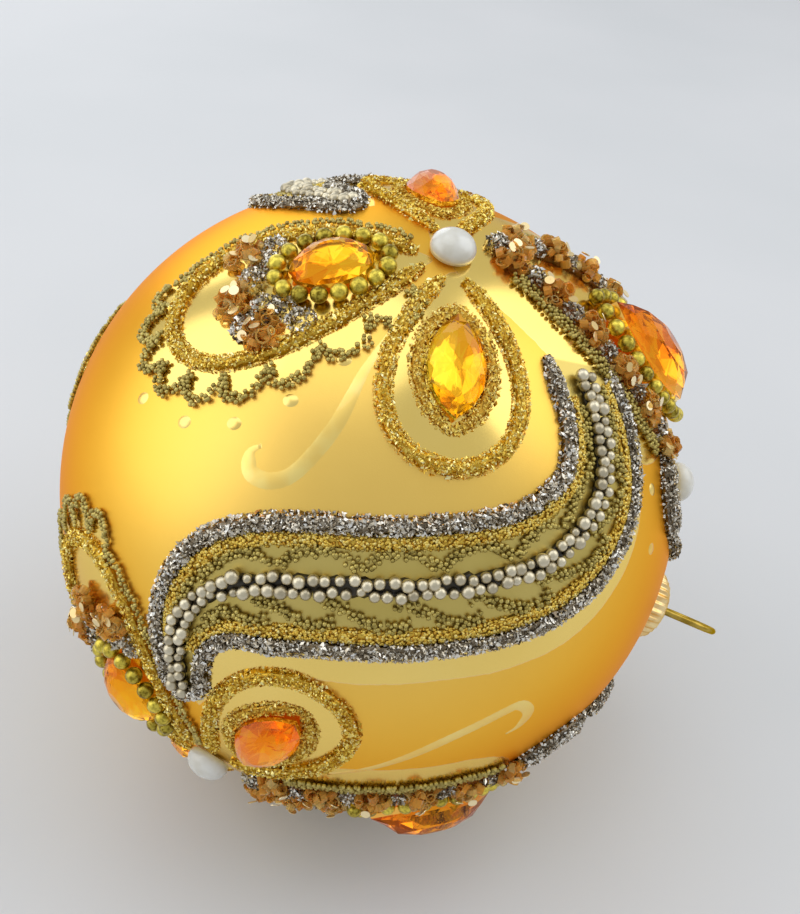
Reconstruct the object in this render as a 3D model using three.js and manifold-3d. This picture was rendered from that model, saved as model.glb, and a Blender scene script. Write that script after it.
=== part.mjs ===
// A jewelled ball ornament: a blown-glass Christmas ball decorated by hand with lines of glitter,
// strings of beads, faceted stones and half pearls. It lies on its side, on one of its beaded leaves.
// Millimetres and degrees, +Z up, the resting surface at z = 0, the cap towards +X.

import * as THREE from "three";
import { mergeVertices } from "three/addons/utils/BufferGeometryUtils.js";
import Module from "manifold-3d";

const wasm = await Module();
wasm.setup();

// The ball, and how it lies. Longitude runs round the cap axis from the first flower,
// and colatitude down from the cap.
const BALL_RADIUS = 50;
const BALL_SEGMENTS = 36;
const BALL_RINGS = 17;
const BALL_CENTRE = new THREE.Vector3(-7.725, 0.15, 51);
const CAP_DIP = 21;
const REST_LONGITUDE = 171;
const GLUE_GAP = 0.15;

// Neck, cap and hanger
const NECK_RADIUS = 5;
const NECK_TOP = 56.4;
const CAP_RADIUS = 6.5;
const CAP_WALL = 0.6;
const CAP_FOOT = 49.9;
const CAP_TOP = 57.5;
const CAP_RIBS = 14;
const CAP_RIB_DEPTH = 0.35;
const CAP_PLEAT_REACH = 1;
const CAP_LIP = 0.3;
const CAP_WAIST_LEVEL = 1.6;
const CAP_TIER_LEVEL = 3;
const CAP_TAPER = 0.4;
const CAP_SHOULDER = 1.3;
const WIRE_RADIUS = 0.6;
const WIRE_SIDES = 6;
const WIRE_STEPS = 22;
const LOOP_RADIUS = 4.7;
const LOOP_TIP = 70.6;
const LOOP_LONGITUDE = 46;
const LOOP_FOOT_SPREAD = 2.2;
const LOOP_FOOT_GAP = 0.45;
const LOOP_ARC_FROM = 210;
const LOOP_ARC_TO = -30;
const LOOP_ARC_STEPS = 6;

// Flowers, each laid a little differently by hand: where it sits, how its petals turn and lean
const FLOWERS = [
  {
    longitude: 0, colatitude: 102.8, northLongitude: -6,
    eastTurn: 9, westTurn: 10, southLean: 19, southRoot: 2, southDrop: 2, southLength: 37.5,
  },
  {
    longitude: 114, colatitude: 102.8, northLongitude: 111,
    eastTurn: -4, westTurn: -6, southLean: -13, southRoot: -0.5, southDrop: 2, southLength: 37.5,
  },
  {
    longitude: 240, colatitude: 110, northLongitude: 237,
    eastTurn: -15, westTurn: -24, southLean: -2, southRoot: 0, southDrop: 8.5, southLength: 47,
  },
];
const PEARL_RADIUS = 3.5;
const PEARL_HEIGHT = 3.4;
const GLITTER_WIDTH = 2.4;
const GLITTER_HEIGHT = 1.5;

// East and west petals: teardrop line and pointed stone
const SIDE_PETAL_LENGTH = 32.5;
const SIDE_PETAL_HALF_WIDTH = 9.5;
const SIDE_PETAL_ROOT = 5.2;
const SIDE_STONE_PLACE = 19.3;
const SIDE_STONE = { halfLength: 7.4, halfWidth: 4, height: 3.4, lift: 0 };

// South petal: teardrop line, oval stone, ring of beads, crescent of clumps and scalloped line
const SOUTH_PETAL_HALF_WIDTH = 10.8;
const SOUTH_PETAL_ROOT = 8;
const SOUTH_STONE_SHARE = 0.376;
const SOUTH_STONE = { halfLength: 5.9, halfWidth: 3.95, height: 3.6, lift: 0.3 };
const SOUTH_RING_HALF_LENGTH = 7.6;
const SOUTH_RING_HALF_WIDTH = 5.5;
const SOUTH_RING_BEADS = 16;
const RING_BEAD_RADIUS = 1.35;
const RING_BEAD_NECK = 0.62;
const CRESCENT_RADIUS = 10.1;
const CRESCENT_AHEAD = 1.4;
const CRESCENT_SPREAD = 50;
const CRESCENT_CLUMPS = 6;
const CRESCENT_END_SIZE = 0.6;
const SCALLOP_WIDTH = 1.5;
const SCALLOP_HEIGHT = 1;
const SCALLOP_COUNT = 8;
const SCALLOP_STEPS = 4;
const SCALLOP_NEAR = 2.4;
const SCALLOP_RISE = 3.4;
const SCALLOP_FROM = 66;
const SCALLOP_TO = 222;

// North petal: a vase-shaped line of clumps, a long pointed stone in a ring of beads, and a pearl at the tip
const NORTH_COLATITUDE = 66;
const NORTH_OUTLINE = [
  [0, -25.5], [4.5, -19], [8.2, -10], [11, 2], [11.8, 11],
  [16.3, 17], [17.5, 22.5], [15.5, 29], [11, 36], [8.6, 39],
];
const NORTH_SAMPLES = 41;
const CLUMP_WIDTH = 3.8;
const CLUMP_NECK_WIDTH = 2.8;
const CLUMP_HEIGHT = 2.4;
const CLUMP_NECK_HEIGHT = 1.6;
const NORTH_STONE_PLACE = 3.5;
const NORTH_STONE = { halfLength: 10.5, halfWidth: 4.8, height: 5, lift: 0.6 };
const NORTH_RING_OUTSET = 1.65;
const NORTH_RING_BEADS = 22;
const NORTH_PEARL_PLACE = 30;

// S-shaped leaves: the bead row's line in the leaf's own east and north, and the half width about it
const LEAVES = [
  { longitude: 57, colatitude: 98, turn: 0 },
  { longitude: 180, colatitude: 98, turn: 0 },
  { longitude: 305, colatitude: 111, turn: 9 },
];
const LEAF_SPINE = [
  [-38, 17], [-30, 22.8], [-21, 25], [-11, 19.5], [-3, 6.5],
  [4.5, -10.5], [10.5, -18.3], [19, -20.6], [28.5, -17.6],
];
const RESTED_LEAF = 1;
const LEAF_HALF_WIDTH = 8.3;
const LEAF_BLUNT_HALF_WIDTH = 5.8;
const LEAF_TIP_HALF_WIDTH = 2.9;
const LEAF_LEAN = 0.5;
const LEAF_TIP_REACH = 2.2;
const LEAF_SWELL_END = 0.3;
const LEAF_TAPER_START = 0.7;
const LEAF_SAMPLES = 20;
const LEAF_LINE_HEIGHT = 1.8;
const LEAF_BEAD_WIDTH = 3.9;
const LEAF_BEAD_HEIGHT = 2.2;
const LEAF_BEAD_NECK = 0.7;
const LEAF_BEAD_LUMPS = 22;

// Stones, pearls and cuts
const STONE_SIDES = 10;
const CROWN_SCALE = 0.74;
const TABLE_SCALE = 0.38;
const CROWN_HEIGHT_SHARE = 0.66;
const DOME_SIDES = 10;
const DOME_CLIMBS = [0, 25, 50, 75];
const TEARDROP_PEAK = 0.77;
const TEARDROP_STEPS = 26;
const FLAT_CUTTER = 60;
const BAND_TOP_SHARE = 0.28;
const TINY = 1e-9;

function finish(color, roughness, metalness) {
  return new THREE.MeshStandardMaterial({ color, roughness, metalness });
}

const SATIN_GOLD = finish(0xd9b24a, 0.4, 0.6);
const BRASS = finish(0xd8b070, 0.35, 1);
const WIRE = finish(0x8a7a30, 0.35, 1);
const GOLD_GLITTER = finish(0xa88a30, 0.5, 0.8);
const SILVER_GLITTER = finish(0x8c8a88, 0.45, 0.9);
const CLUMPS = finish(0xb07a3c, 0.3, 0.2);
const SEED_BEADS = finish(0x786e32, 0.4, 0.5);
const GOLD_BEADS = finish(0x968c1e, 0.3, 0.8);
const GREY_BEADS = finish(0xa8a08c, 0.35, 0.7);
const AMBER_STONE = finish(0xffaa14, 0.05, 0);
const PEARL = finish(0xe6e6e1, 0.25, 0);

const ball = new THREE.Group();
const radians = THREE.MathUtils.degToRad;

function addPiece(name, geometry, material) {
  const mesh = new THREE.Mesh(geometry, material);
  mesh.name = name;
  ball.add(mesh);
}

// A map of the ball about one spot: (east, north, height) becomes a point, with true distances from the spot.
function mapAbout(colatitude, longitude) {
  const down = radians(colatitude);
  const round = radians(longitude);
  const out = new THREE.Vector3().setFromSphericalCoords(1, down, round);
  out.set(out.z, out.x, out.y);
  const east = new THREE.Vector3(-Math.sin(round), Math.cos(round), 0);
  const north = new THREE.Vector3().crossVectors(out, east);
  return (x, y, height) => {
    const far = Math.max(Math.hypot(x, y), TINY);
    const angle = far / BALL_RADIUS;
    const sideways = Math.sin(angle) / far;
    const point = out.clone().multiplyScalar(Math.cos(angle));
    point.addScaledVector(east, x * sideways).addScaledVector(north, y * sideways);
    return point.multiplyScalar(BALL_RADIUS + height);
  };
}

// The same map turned and moved: x runs along a petal's axis and y to its left.
function mapAlong(map, angle, startX = 0, startY = 0) {
  const cos = Math.cos(radians(angle));
  const sin = Math.sin(radians(angle));
  return (x, y, height) => map(startX + x * cos - y * sin, startY + x * sin + y * cos, height);
}

// A flat frame that touches the ball at one spot of a map, for what has a flat back.
function flatFrame(map, x, y, lift = 0) {
  const origin = map(x, y, GLUE_GAP + lift);
  const out = origin.clone().normalize();
  const ahead = map(x + 1, y, GLUE_GAP + lift).sub(origin);
  const along = ahead.addScaledVector(out, -ahead.dot(out)).normalize();
  const side = new THREE.Vector3().crossVectors(out, along);
  return (u, v, height) =>
    origin.clone().addScaledVector(along, u).addScaledVector(side, v).addScaledVector(out, height);
}

// A closed solid through rings of points, with flat ends unless the rings close on themselves.
function solidThroughRings(rings, closed = false) {
  const sides = rings[0].length;
  const index = [];
  const last = closed ? rings.length : rings.length - 1;
  for (let i = 0; i < last; i++) {
    const next = (i + 1) % rings.length;
    for (let j = 0; j < sides; j++) {
      const a = i * sides + j;
      const b = i * sides + ((j + 1) % sides);
      const c = next * sides + ((j + 1) % sides);
      const d = next * sides + j;
      index.push(a, b, c, a, c, d);
    }
  }
  if (!closed) {
    const end = (rings.length - 1) * sides;
    for (let j = 1; j < sides - 1; j++) {
      index.push(0, j + 1, j, end, end + j, end + j + 1);
    }
  }
  const points = rings.flat();
  let volume = 0;
  for (let i = 0; i < index.length; i += 3) {
    const [a, b, c] = index.slice(i, i + 3).map((k) => points[k]);
    volume += a.dot(b.clone().cross(c));
  }
  if (volume < 0) index.reverse();
  return new THREE.BufferGeometry().setFromPoints(points).setIndex(index);
}

// A low ridge stuck on the ball along a path of a map. sectionAt gives [sideways, height] corners.
function ridge(map, path, sectionAt, closed = false) {
  const count = path.length;
  const rings = path.map((point, i) => {
    const before = path[closed ? (i + count - 1) % count : Math.max(i - 1, 0)];
    const after = path[closed ? (i + 1) % count : Math.min(i + 1, count - 1)];
    const along = after.clone().sub(before).normalize();
    return sectionAt(i).map(([side, height]) =>
      map(point.x - along.y * side, point.y + along.x * side, height));
  });
  return solidThroughRings(rings, closed);
}

const tentSection = (width, height) => [[-width / 2, GLUE_GAP], [0, height], [width / 2, GLUE_GAP]];

function bandSection(width, height) {
  const top = width * BAND_TOP_SHARE;
  return [[-width / 2, GLUE_GAP], [-top, height], [top, height], [width / 2, GLUE_GAP]];
}

function beadSection(radius, fill) {
  const reach = radius * fill;
  const middle = GLUE_GAP + radius;
  return [[0, middle - reach], [reach, middle], [0, middle + reach], [-reach, middle]];
}

// A string of beads along a closed path that has two points for each bead.
function beadRing(map, path) {
  return ridge(map, path, (i) => beadSection(RING_BEAD_RADIUS, i % 2 ? RING_BEAD_NECK : 1), true);
}

// A ridge of clumps: wide and high at every other point of its path.
function clumpRidge(map, path, taper = () => 1) {
  return ridge(map, path, (i) => {
    const size = taper(i / (path.length - 1));
    const width = (i % 2 ? CLUMP_WIDTH : CLUMP_NECK_WIDTH) * size;
    return tentSection(width, (i % 2 ? CLUMP_HEIGHT : CLUMP_NECK_HEIGHT) * size);
  });
}

// The teardrop that a petal's line follows, from one side of its root round the far end to the other.
function teardrop(length, halfWidth, root) {
  const start = Math.acos(1 - (2 * root) / length);
  return Array.from({ length: TEARDROP_STEPS + 1 }, (_, i) => {
    const turn = start + ((2 * Math.PI - 2 * start) * i) / TEARDROP_STEPS;
    const swell = (Math.sin(turn) * Math.sin(turn / 2)) / TEARDROP_PEAK;
    return new THREE.Vector2((length * (1 - Math.cos(turn))) / 2, halfWidth * swell);
  });
}

function ovalPath(halfLength, halfWidth, count) {
  return Array.from({ length: count }, (_, i) => {
    const turn = (2 * Math.PI * i) / count;
    return new THREE.Vector2(halfLength * Math.cos(turn), halfWidth * Math.sin(turn));
  });
}

// A pointed oval: two arcs that meet at its tips, grown outwards by outset.
function pointedPath(halfLength, halfWidth, count, outset = 0) {
  const arcRadius = (halfLength ** 2 + halfWidth ** 2) / (2 * halfWidth);
  const arcDepth = arcRadius - halfWidth;
  const reach = Math.acos(arcDepth / (arcRadius + outset));
  return Array.from({ length: count }, (_, i) => {
    const half = count / 2;
    const upper = i < half;
    const turn = reach - (2 * reach * (upper ? i : i - half)) / half;
    const sign = upper ? 1 : -1;
    const x = (arcRadius + outset) * Math.sin(turn);
    return new THREE.Vector2(sign * x, sign * ((arcRadius + outset) * Math.cos(turn) - arcDepth));
  });
}

// A flat-backed faceted stone: its outline, a crown ring and a small table.
function stone(frame, outline, height) {
  const ring = (scale, level) => outline.map((p) => frame(p.x * scale, p.y * scale, level));
  return solidThroughRings([
    ring(1, 0), ring(CROWN_SCALE, height * CROWN_HEIGHT_SHARE), ring(TABLE_SCALE, height),
  ]);
}

function halfPearl(frame) {
  const rings = DOME_CLIMBS.map((climb) => {
    const radius = PEARL_RADIUS * Math.cos(radians(climb));
    const level = PEARL_HEIGHT * Math.sin(radians(climb));
    return ovalPath(radius, radius, DOME_SIDES).map((p) => frame(p.x, p.y, level));
  });
  return solidThroughRings(rings);
}

function asSolid(geometry) {
  const bare = geometry.clone();
  bare.deleteAttribute("normal");
  bare.deleteAttribute("uv");
  const merged = mergeVertices(bare);
  return new wasm.Manifold(new wasm.Mesh({
    numProp: 3,
    vertProperties: merged.attributes.position.array,
    triVerts: new Uint32Array(merged.index.array),
  }));
}

// Takes off what reaches past the resting surface, which leaves the small flat spot.
function cutFlat(geometry) {
  const down = mapAbout(90 - CAP_DIP, REST_LONGITUDE)(0, 0, 0).normalize();
  const cutter = new THREE.BoxGeometry(FLAT_CUTTER, FLAT_CUTTER, FLAT_CUTTER);
  cutter.applyQuaternion(new THREE.Quaternion().setFromUnitVectors(new THREE.Vector3(0, 0, 1), down));
  const depth = BALL_CENTRE.z + FLAT_CUTTER / 2;
  cutter.translate(down.x * depth, down.y * depth, down.z * depth);
  const mesh = asSolid(geometry).subtract(asSolid(cutter)).getMesh();
  return new THREE.BufferGeometry()
    .setAttribute("position", new THREE.BufferAttribute(mesh.vertProperties, 3))
    .setIndex(new THREE.BufferAttribute(mesh.triVerts, 1));
}

// A turned solid about the cap axis, from [radius, level] corners.
function turned(profile, segments) {
  const geometry = new THREE.LatheGeometry(profile.map(([r, z]) => new THREE.Vector2(r, z)), segments);
  return geometry.rotateX(Math.PI / 2);
}

function glassBall() {
  const shoulder = Math.asin(NECK_RADIUS / BALL_RADIUS);
  const profile = Array.from({ length: BALL_RINGS + 1 }, (_, i) => {
    const turn = Math.PI - ((Math.PI - shoulder) * i) / BALL_RINGS;
    return [i ? BALL_RADIUS * Math.sin(turn) : 0, BALL_RADIUS * Math.cos(turn)];
  });
  profile.push([NECK_RADIUS, NECK_TOP], [0, NECK_TOP]);
  addPiece("glass_ball", turned(profile, BALL_SEGMENTS), SATIN_GOLD);
}

function cap() {
  const roof = CAP_TOP - CAP_WALL;
  const inside = CAP_RADIUS - CAP_WALL - CAP_RIB_DEPTH;
  const geometry = turned([
    [0, roof], [inside - CAP_LIP, roof], [inside, CAP_FOOT + CAP_LIP], [CAP_RADIUS, CAP_FOOT],
    [CAP_RADIUS - CAP_LIP, CAP_FOOT + CAP_WAIST_LEVEL], [CAP_RADIUS, CAP_FOOT + CAP_TIER_LEVEL],
    [CAP_RADIUS - CAP_TAPER, roof], [CAP_RADIUS - CAP_SHOULDER, CAP_TOP], [0, CAP_TOP],
  ], 2 * CAP_RIBS);
  const point = new THREE.Vector3();
  const corners = geometry.attributes.position;
  for (let i = 0; i < corners.count; i++) {
    point.fromBufferAttribute(corners, i);
    const far = Math.hypot(point.x, point.y);
    const rib = Math.round((Math.atan2(point.y, point.x) * CAP_RIBS) / Math.PI) % 2 !== 0;
    if (rib && far > CAP_RADIUS - CAP_PLEAT_REACH) {
      const inwards = 1 - CAP_RIB_DEPTH / far;
      corners.setXY(i, point.x * inwards, point.y * inwards);
    }
  }
  addPiece("cap", geometry, BRASS);
}

function wireLoop() {
  const middle = LOOP_TIP - WIRE_RADIUS - LOOP_RADIUS;
  const foot = CAP_TOP + LOOP_FOOT_GAP;
  const arc = Array.from({ length: LOOP_ARC_STEPS + 1 }, (_, i) => {
    const turn = radians(LOOP_ARC_FROM + ((LOOP_ARC_TO - LOOP_ARC_FROM) * i) / LOOP_ARC_STEPS);
    return [LOOP_RADIUS * Math.cos(turn), middle + LOOP_RADIUS * Math.sin(turn)];
  });
  const bends = [[-LOOP_FOOT_SPREAD, foot], ...arc, [LOOP_FOOT_SPREAD, foot]];
  const points = bends.map(([side, level]) => new THREE.Vector3(
    side * Math.cos(radians(LOOP_LONGITUDE)), side * Math.sin(radians(LOOP_LONGITUDE)), level));
  const section = new THREE.Shape(ovalPath(WIRE_RADIUS, WIRE_RADIUS, WIRE_SIDES));
  const extrudePath = new THREE.CatmullRomCurve3(points);
  addPiece("wire_loop", new THREE.ExtrudeGeometry(section, { steps: WIRE_STEPS, extrudePath }), WIRE);
}

function glitterLine(petal, line) {
  return ridge(petal, line, () => tentSection(GLITTER_WIDTH, GLITTER_HEIGHT));
}

function sidePetal(flowerMap, angle, name) {
  const petal = mapAlong(flowerMap, angle);
  const line = teardrop(SIDE_PETAL_LENGTH, SIDE_PETAL_HALF_WIDTH, SIDE_PETAL_ROOT);
  const outline = pointedPath(SIDE_STONE.halfLength, SIDE_STONE.halfWidth, STONE_SIDES);
  const frame = flatFrame(petal, SIDE_STONE_PLACE, 0, SIDE_STONE.lift);
  addPiece(`${name}_petal_line`, glitterLine(petal, line), GOLD_GLITTER);
  addPiece(`${name}_stone`, stone(frame, outline, SIDE_STONE.height), AMBER_STONE);
}

// Scallops that follow the south petal's line, from its east side round its far end.
function scallopPath(length) {
  const count = SCALLOP_COUNT * SCALLOP_STEPS;
  return Array.from({ length: count + 1 }, (_, i) => {
    const turn = radians(SCALLOP_FROM + ((SCALLOP_TO - SCALLOP_FROM) * i) / count);
    const rise = SCALLOP_NEAR + SCALLOP_RISE * Math.abs(Math.sin((Math.PI * i) / SCALLOP_STEPS));
    const swell = (Math.sin(turn) * Math.sin(turn / 2)) / TEARDROP_PEAK;
    const x = (length * (1 - Math.cos(turn))) / 2;
    const outwards = new THREE.Vector2(-Math.cos(turn), swell).normalize();
    return new THREE.Vector2(x, SOUTH_PETAL_HALF_WIDTH * swell).addScaledVector(outwards, rise);
  });
}

function southPetal(flowerMap, flower, name) {
  const petal = mapAlong(flowerMap, flower.southLean - 90, flower.southRoot, -flower.southDrop);
  const line = teardrop(flower.southLength, SOUTH_PETAL_HALF_WIDTH, SOUTH_PETAL_ROOT);
  const stonePlace = SOUTH_STONE_SHARE * flower.southLength;
  const frame = flatFrame(petal, stonePlace, 0, SOUTH_STONE.lift);
  const outline = ovalPath(SOUTH_STONE.halfLength, SOUTH_STONE.halfWidth, STONE_SIDES);
  const beads = ovalPath(SOUTH_RING_HALF_LENGTH, SOUTH_RING_HALF_WIDTH, 2 * SOUTH_RING_BEADS);
  const ring = mapAlong(petal, 0, stonePlace);
  const crescent = Array.from({ length: 2 * CRESCENT_CLUMPS + 1 }, (_, i) => {
    const turn = radians(CRESCENT_SPREAD * (i / CRESCENT_CLUMPS - 1));
    const x = stonePlace + CRESCENT_AHEAD + CRESCENT_RADIUS * Math.cos(turn);
    return new THREE.Vector2(x, CRESCENT_RADIUS * Math.sin(turn));
  });
  const taper = (t) => CRESCENT_END_SIZE + (1 - CRESCENT_END_SIZE) * Math.sin(Math.PI * t);
  const edging = scallopPath(flower.southLength);
  const scallops = ridge(petal, edging, () => tentSection(SCALLOP_WIDTH, SCALLOP_HEIGHT));
  addPiece(`${name}_petal_line`, glitterLine(petal, line), GOLD_GLITTER);
  addPiece(`${name}_stone`, stone(frame, outline, SOUTH_STONE.height), AMBER_STONE);
  addPiece(`${name}_bead_ring`, beadRing(ring, beads), GOLD_BEADS);
  addPiece(`${name}_crescent`, clumpRidge(petal, crescent, taper), CLUMPS);
  addPiece(`${name}_scallops`, scallops, SEED_BEADS);
}

function northPetal(flower, name) {
  const map = mapAbout(NORTH_COLATITUDE, flower.northLongitude);
  const east = NORTH_OUTLINE.map(([x, y]) => new THREE.Vector2(x, y));
  const west = NORTH_OUTLINE.slice(1).map(([x, y]) => new THREE.Vector2(-x, y));
  const line = new THREE.SplineCurve([...east.reverse(), ...west]).getSpacedPoints(NORTH_SAMPLES - 1);
  const frame = flatFrame(mapAlong(map, 90), NORTH_STONE_PLACE, 0, NORTH_STONE.lift);
  const outline = pointedPath(NORTH_STONE.halfLength, NORTH_STONE.halfWidth, STONE_SIDES);
  const beads = pointedPath(
    NORTH_STONE.halfLength, NORTH_STONE.halfWidth, 2 * NORTH_RING_BEADS, NORTH_RING_OUTSET);
  const ring = mapAlong(map, 90, 0, NORTH_STONE_PLACE);
  addPiece(`${name}_clump_line`, clumpRidge(map, line), CLUMPS);
  addPiece(`${name}_stone`, stone(frame, outline, NORTH_STONE.height), AMBER_STONE);
  addPiece(`${name}_bead_ring`, beadRing(ring, beads), GOLD_BEADS);
  addPiece(`${name}_pearl`, halfPearl(flatFrame(map, 0, NORTH_PEARL_PLACE)), PEARL);
}

function leafHalfWidth(t) {
  const swell = THREE.MathUtils.smoothstep(t, 0, LEAF_SWELL_END);
  const taper = THREE.MathUtils.smoothstep(t, LEAF_TAPER_START, 1);
  const full = THREE.MathUtils.lerp(LEAF_BLUNT_HALF_WIDTH, LEAF_HALF_WIDTH, swell);
  return full - (LEAF_HALF_WIDTH - LEAF_TIP_HALF_WIDTH) * taper;
}

// One side of a leaf's outline: the spine moved sideways by the leaf's half width.
function leafSide(spine, side) {
  return Array.from({ length: LEAF_SAMPLES }, (_, i) => {
    const t = i / (LEAF_SAMPLES - 1);
    const along = spine.getTangentAt(t);
    const reach = side * leafHalfWidth(t) + LEAF_LEAN;
    return spine.getPointAt(t).add(new THREE.Vector2(-along.y, along.x).multiplyScalar(reach));
  });
}

function leaf({ colatitude, longitude, turn }, name, isRestedOn) {
  const map = mapAlong(mapAbout(colatitude, longitude), turn);
  const spine = new THREE.SplineCurve(LEAF_SPINE.map(([x, y]) => new THREE.Vector2(x, y)));
  const tip = spine.getPointAt(1).addScaledVector(spine.getTangentAt(1), LEAF_TIP_REACH);
  const outline = [...leafSide(spine, -1), tip, ...leafSide(spine, 1).reverse()];
  const row = spine.getSpacedPoints(2 * LEAF_BEAD_LUMPS);
  const line = ridge(map, outline, () => bandSection(GLITTER_WIDTH, LEAF_LINE_HEIGHT));
  const beads = ridge(map, row, (i) => {
    const size = i % 2 ? 1 : LEAF_BEAD_NECK;
    const room = leafHalfWidth(i / (row.length - 1)) / LEAF_BLUNT_HALF_WIDTH;
    const width = LEAF_BEAD_WIDTH * Math.min(1, room);
    return bandSection((width * (1 + size)) / 2, LEAF_BEAD_HEIGHT * size);
  });
  addPiece(`${name}_line`, isRestedOn ? cutFlat(line) : line, SILVER_GLITTER);
  addPiece(`${name}_bead_row`, isRestedOn ? cutFlat(beads) : beads, GREY_BEADS);
}

glassBall();
cap();
wireLoop();
FLOWERS.forEach((flower, i) => {
  const flowerMap = mapAbout(flower.colatitude, flower.longitude);
  const name = `flower_${i + 1}`;
  addPiece(`${name}_pearl`, halfPearl(flatFrame(flowerMap, 0, 0)), PEARL);
  sidePetal(flowerMap, flower.eastTurn, `${name}_east`);
  sidePetal(flowerMap, flower.westTurn + 180, `${name}_west`);
  southPetal(flowerMap, flower, `${name}_south`);
  northPetal(flower, `${name}_north`);
});
LEAVES.forEach((place, i) => leaf(place, `leaf_${i + 1}`, i === RESTED_LEAF));

// The ball turned so that its resting side is down and its cap dips towards +X
ball.rotation.z = -radians(REST_LONGITUDE);
const lying = new THREE.Group();
lying.add(ball);
lying.rotation.y = radians(90 + CAP_DIP);
lying.position.copy(BALL_CENTRE);

const ornament = new THREE.Group();
ornament.add(lying);

export default ornament;
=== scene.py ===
# %% [markdown]
# # A jewelled ball ornament
# The real thing is a blown-glass ball, lacquered in satin gold and decorated by hand: lines of
# glitter, strings of tiny beads, faceted amber stones and half pearls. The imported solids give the
# place and size of every piece. This lesson dresses them: each glitter line becomes thousands of
# little chips, each string becomes separate beads, and the glass gets its lacquers.

# %% Load the frame
import math
from collections import namedtuple

import bmesh
import bpy
import numpy as np
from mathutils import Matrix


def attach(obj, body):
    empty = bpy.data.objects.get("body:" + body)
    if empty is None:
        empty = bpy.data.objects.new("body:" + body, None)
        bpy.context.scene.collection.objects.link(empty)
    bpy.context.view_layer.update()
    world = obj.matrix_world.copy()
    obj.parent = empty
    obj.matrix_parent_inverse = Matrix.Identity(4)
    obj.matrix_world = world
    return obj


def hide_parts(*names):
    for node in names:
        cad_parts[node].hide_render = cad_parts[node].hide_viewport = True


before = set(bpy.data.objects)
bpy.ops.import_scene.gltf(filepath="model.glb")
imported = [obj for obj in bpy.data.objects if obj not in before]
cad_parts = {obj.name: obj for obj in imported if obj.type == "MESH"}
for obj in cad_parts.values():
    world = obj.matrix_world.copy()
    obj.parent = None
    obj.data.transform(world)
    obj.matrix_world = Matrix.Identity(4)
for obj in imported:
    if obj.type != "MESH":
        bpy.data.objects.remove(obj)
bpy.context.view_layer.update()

MM = 0.001
dice = np.random.default_rng(24)
print("solids in the frame:", len(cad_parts))

# %% [markdown]
# ## Where the camera stands
# The photograph looks down on the ball from close by, with a slight roll. A camera that is turned
# towards the ball, with no lens shift, keeps the ball round and in frame from every other side too.

# %% The camera
CAMERA_PLACE = (-11.591, -142.828, 168.031)
CAMERA_TURN = (52.318, -6.258, 1.561)
CAMERA_LENS = 43.12

camera = bpy.data.objects.new("camera", bpy.data.cameras.new("camera"))
camera.location = [MM * x for x in CAMERA_PLACE]
camera.rotation_euler = [math.radians(x) for x in CAMERA_TURN]
camera.data.lens = CAMERA_LENS
camera.data.clip_start = 0.005
bpy.context.scene.collection.objects.link(camera)
bpy.context.scene.camera = camera
print("camera at", CAMERA_PLACE, "mm")

# %% [markdown]
# ## A flat map of a round ball
# The decoration was drawn on a curved surface, but it is easiest to think of each flower and leaf
# as flat. A spot map does that: millimetres east and north of a spot become a place on the glass,
# and a place on the glass becomes millimetres. Distances from the spot stay true. The numbers that
# say how the ball lies are those of the solids, so everything lands where they are.

# %% Spot maps
BALL_RADIUS = 50.0
BALL_CENTRE = np.array([-7.725, 0.15, 51.0])
CAP_DIP = 21
REST_LONGITUDE = 171
TINY = 1e-9


def ball_turn():
    """The turn that lays the upright ball on its side."""
    a = math.radians(-REST_LONGITUDE)
    b = math.radians(90 + CAP_DIP)
    about_z = np.array([[math.cos(a), -math.sin(a), 0], [math.sin(a), math.cos(a), 0], [0, 0, 1]])
    about_y = np.array([[math.cos(b), 0, math.sin(b)], [0, 1, 0], [-math.sin(b), 0, math.cos(b)]])
    return about_y @ about_z


BALL_TURN = ball_turn()


def from_ball(points):
    """Places in the ball's own upright frame as places in the frame of the solids."""
    return BALL_CENTRE + np.asarray(points, float) @ BALL_TURN.T


def direction(degrees):
    return np.array([math.cos(math.radians(degrees)), math.sin(math.radians(degrees))])


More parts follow.
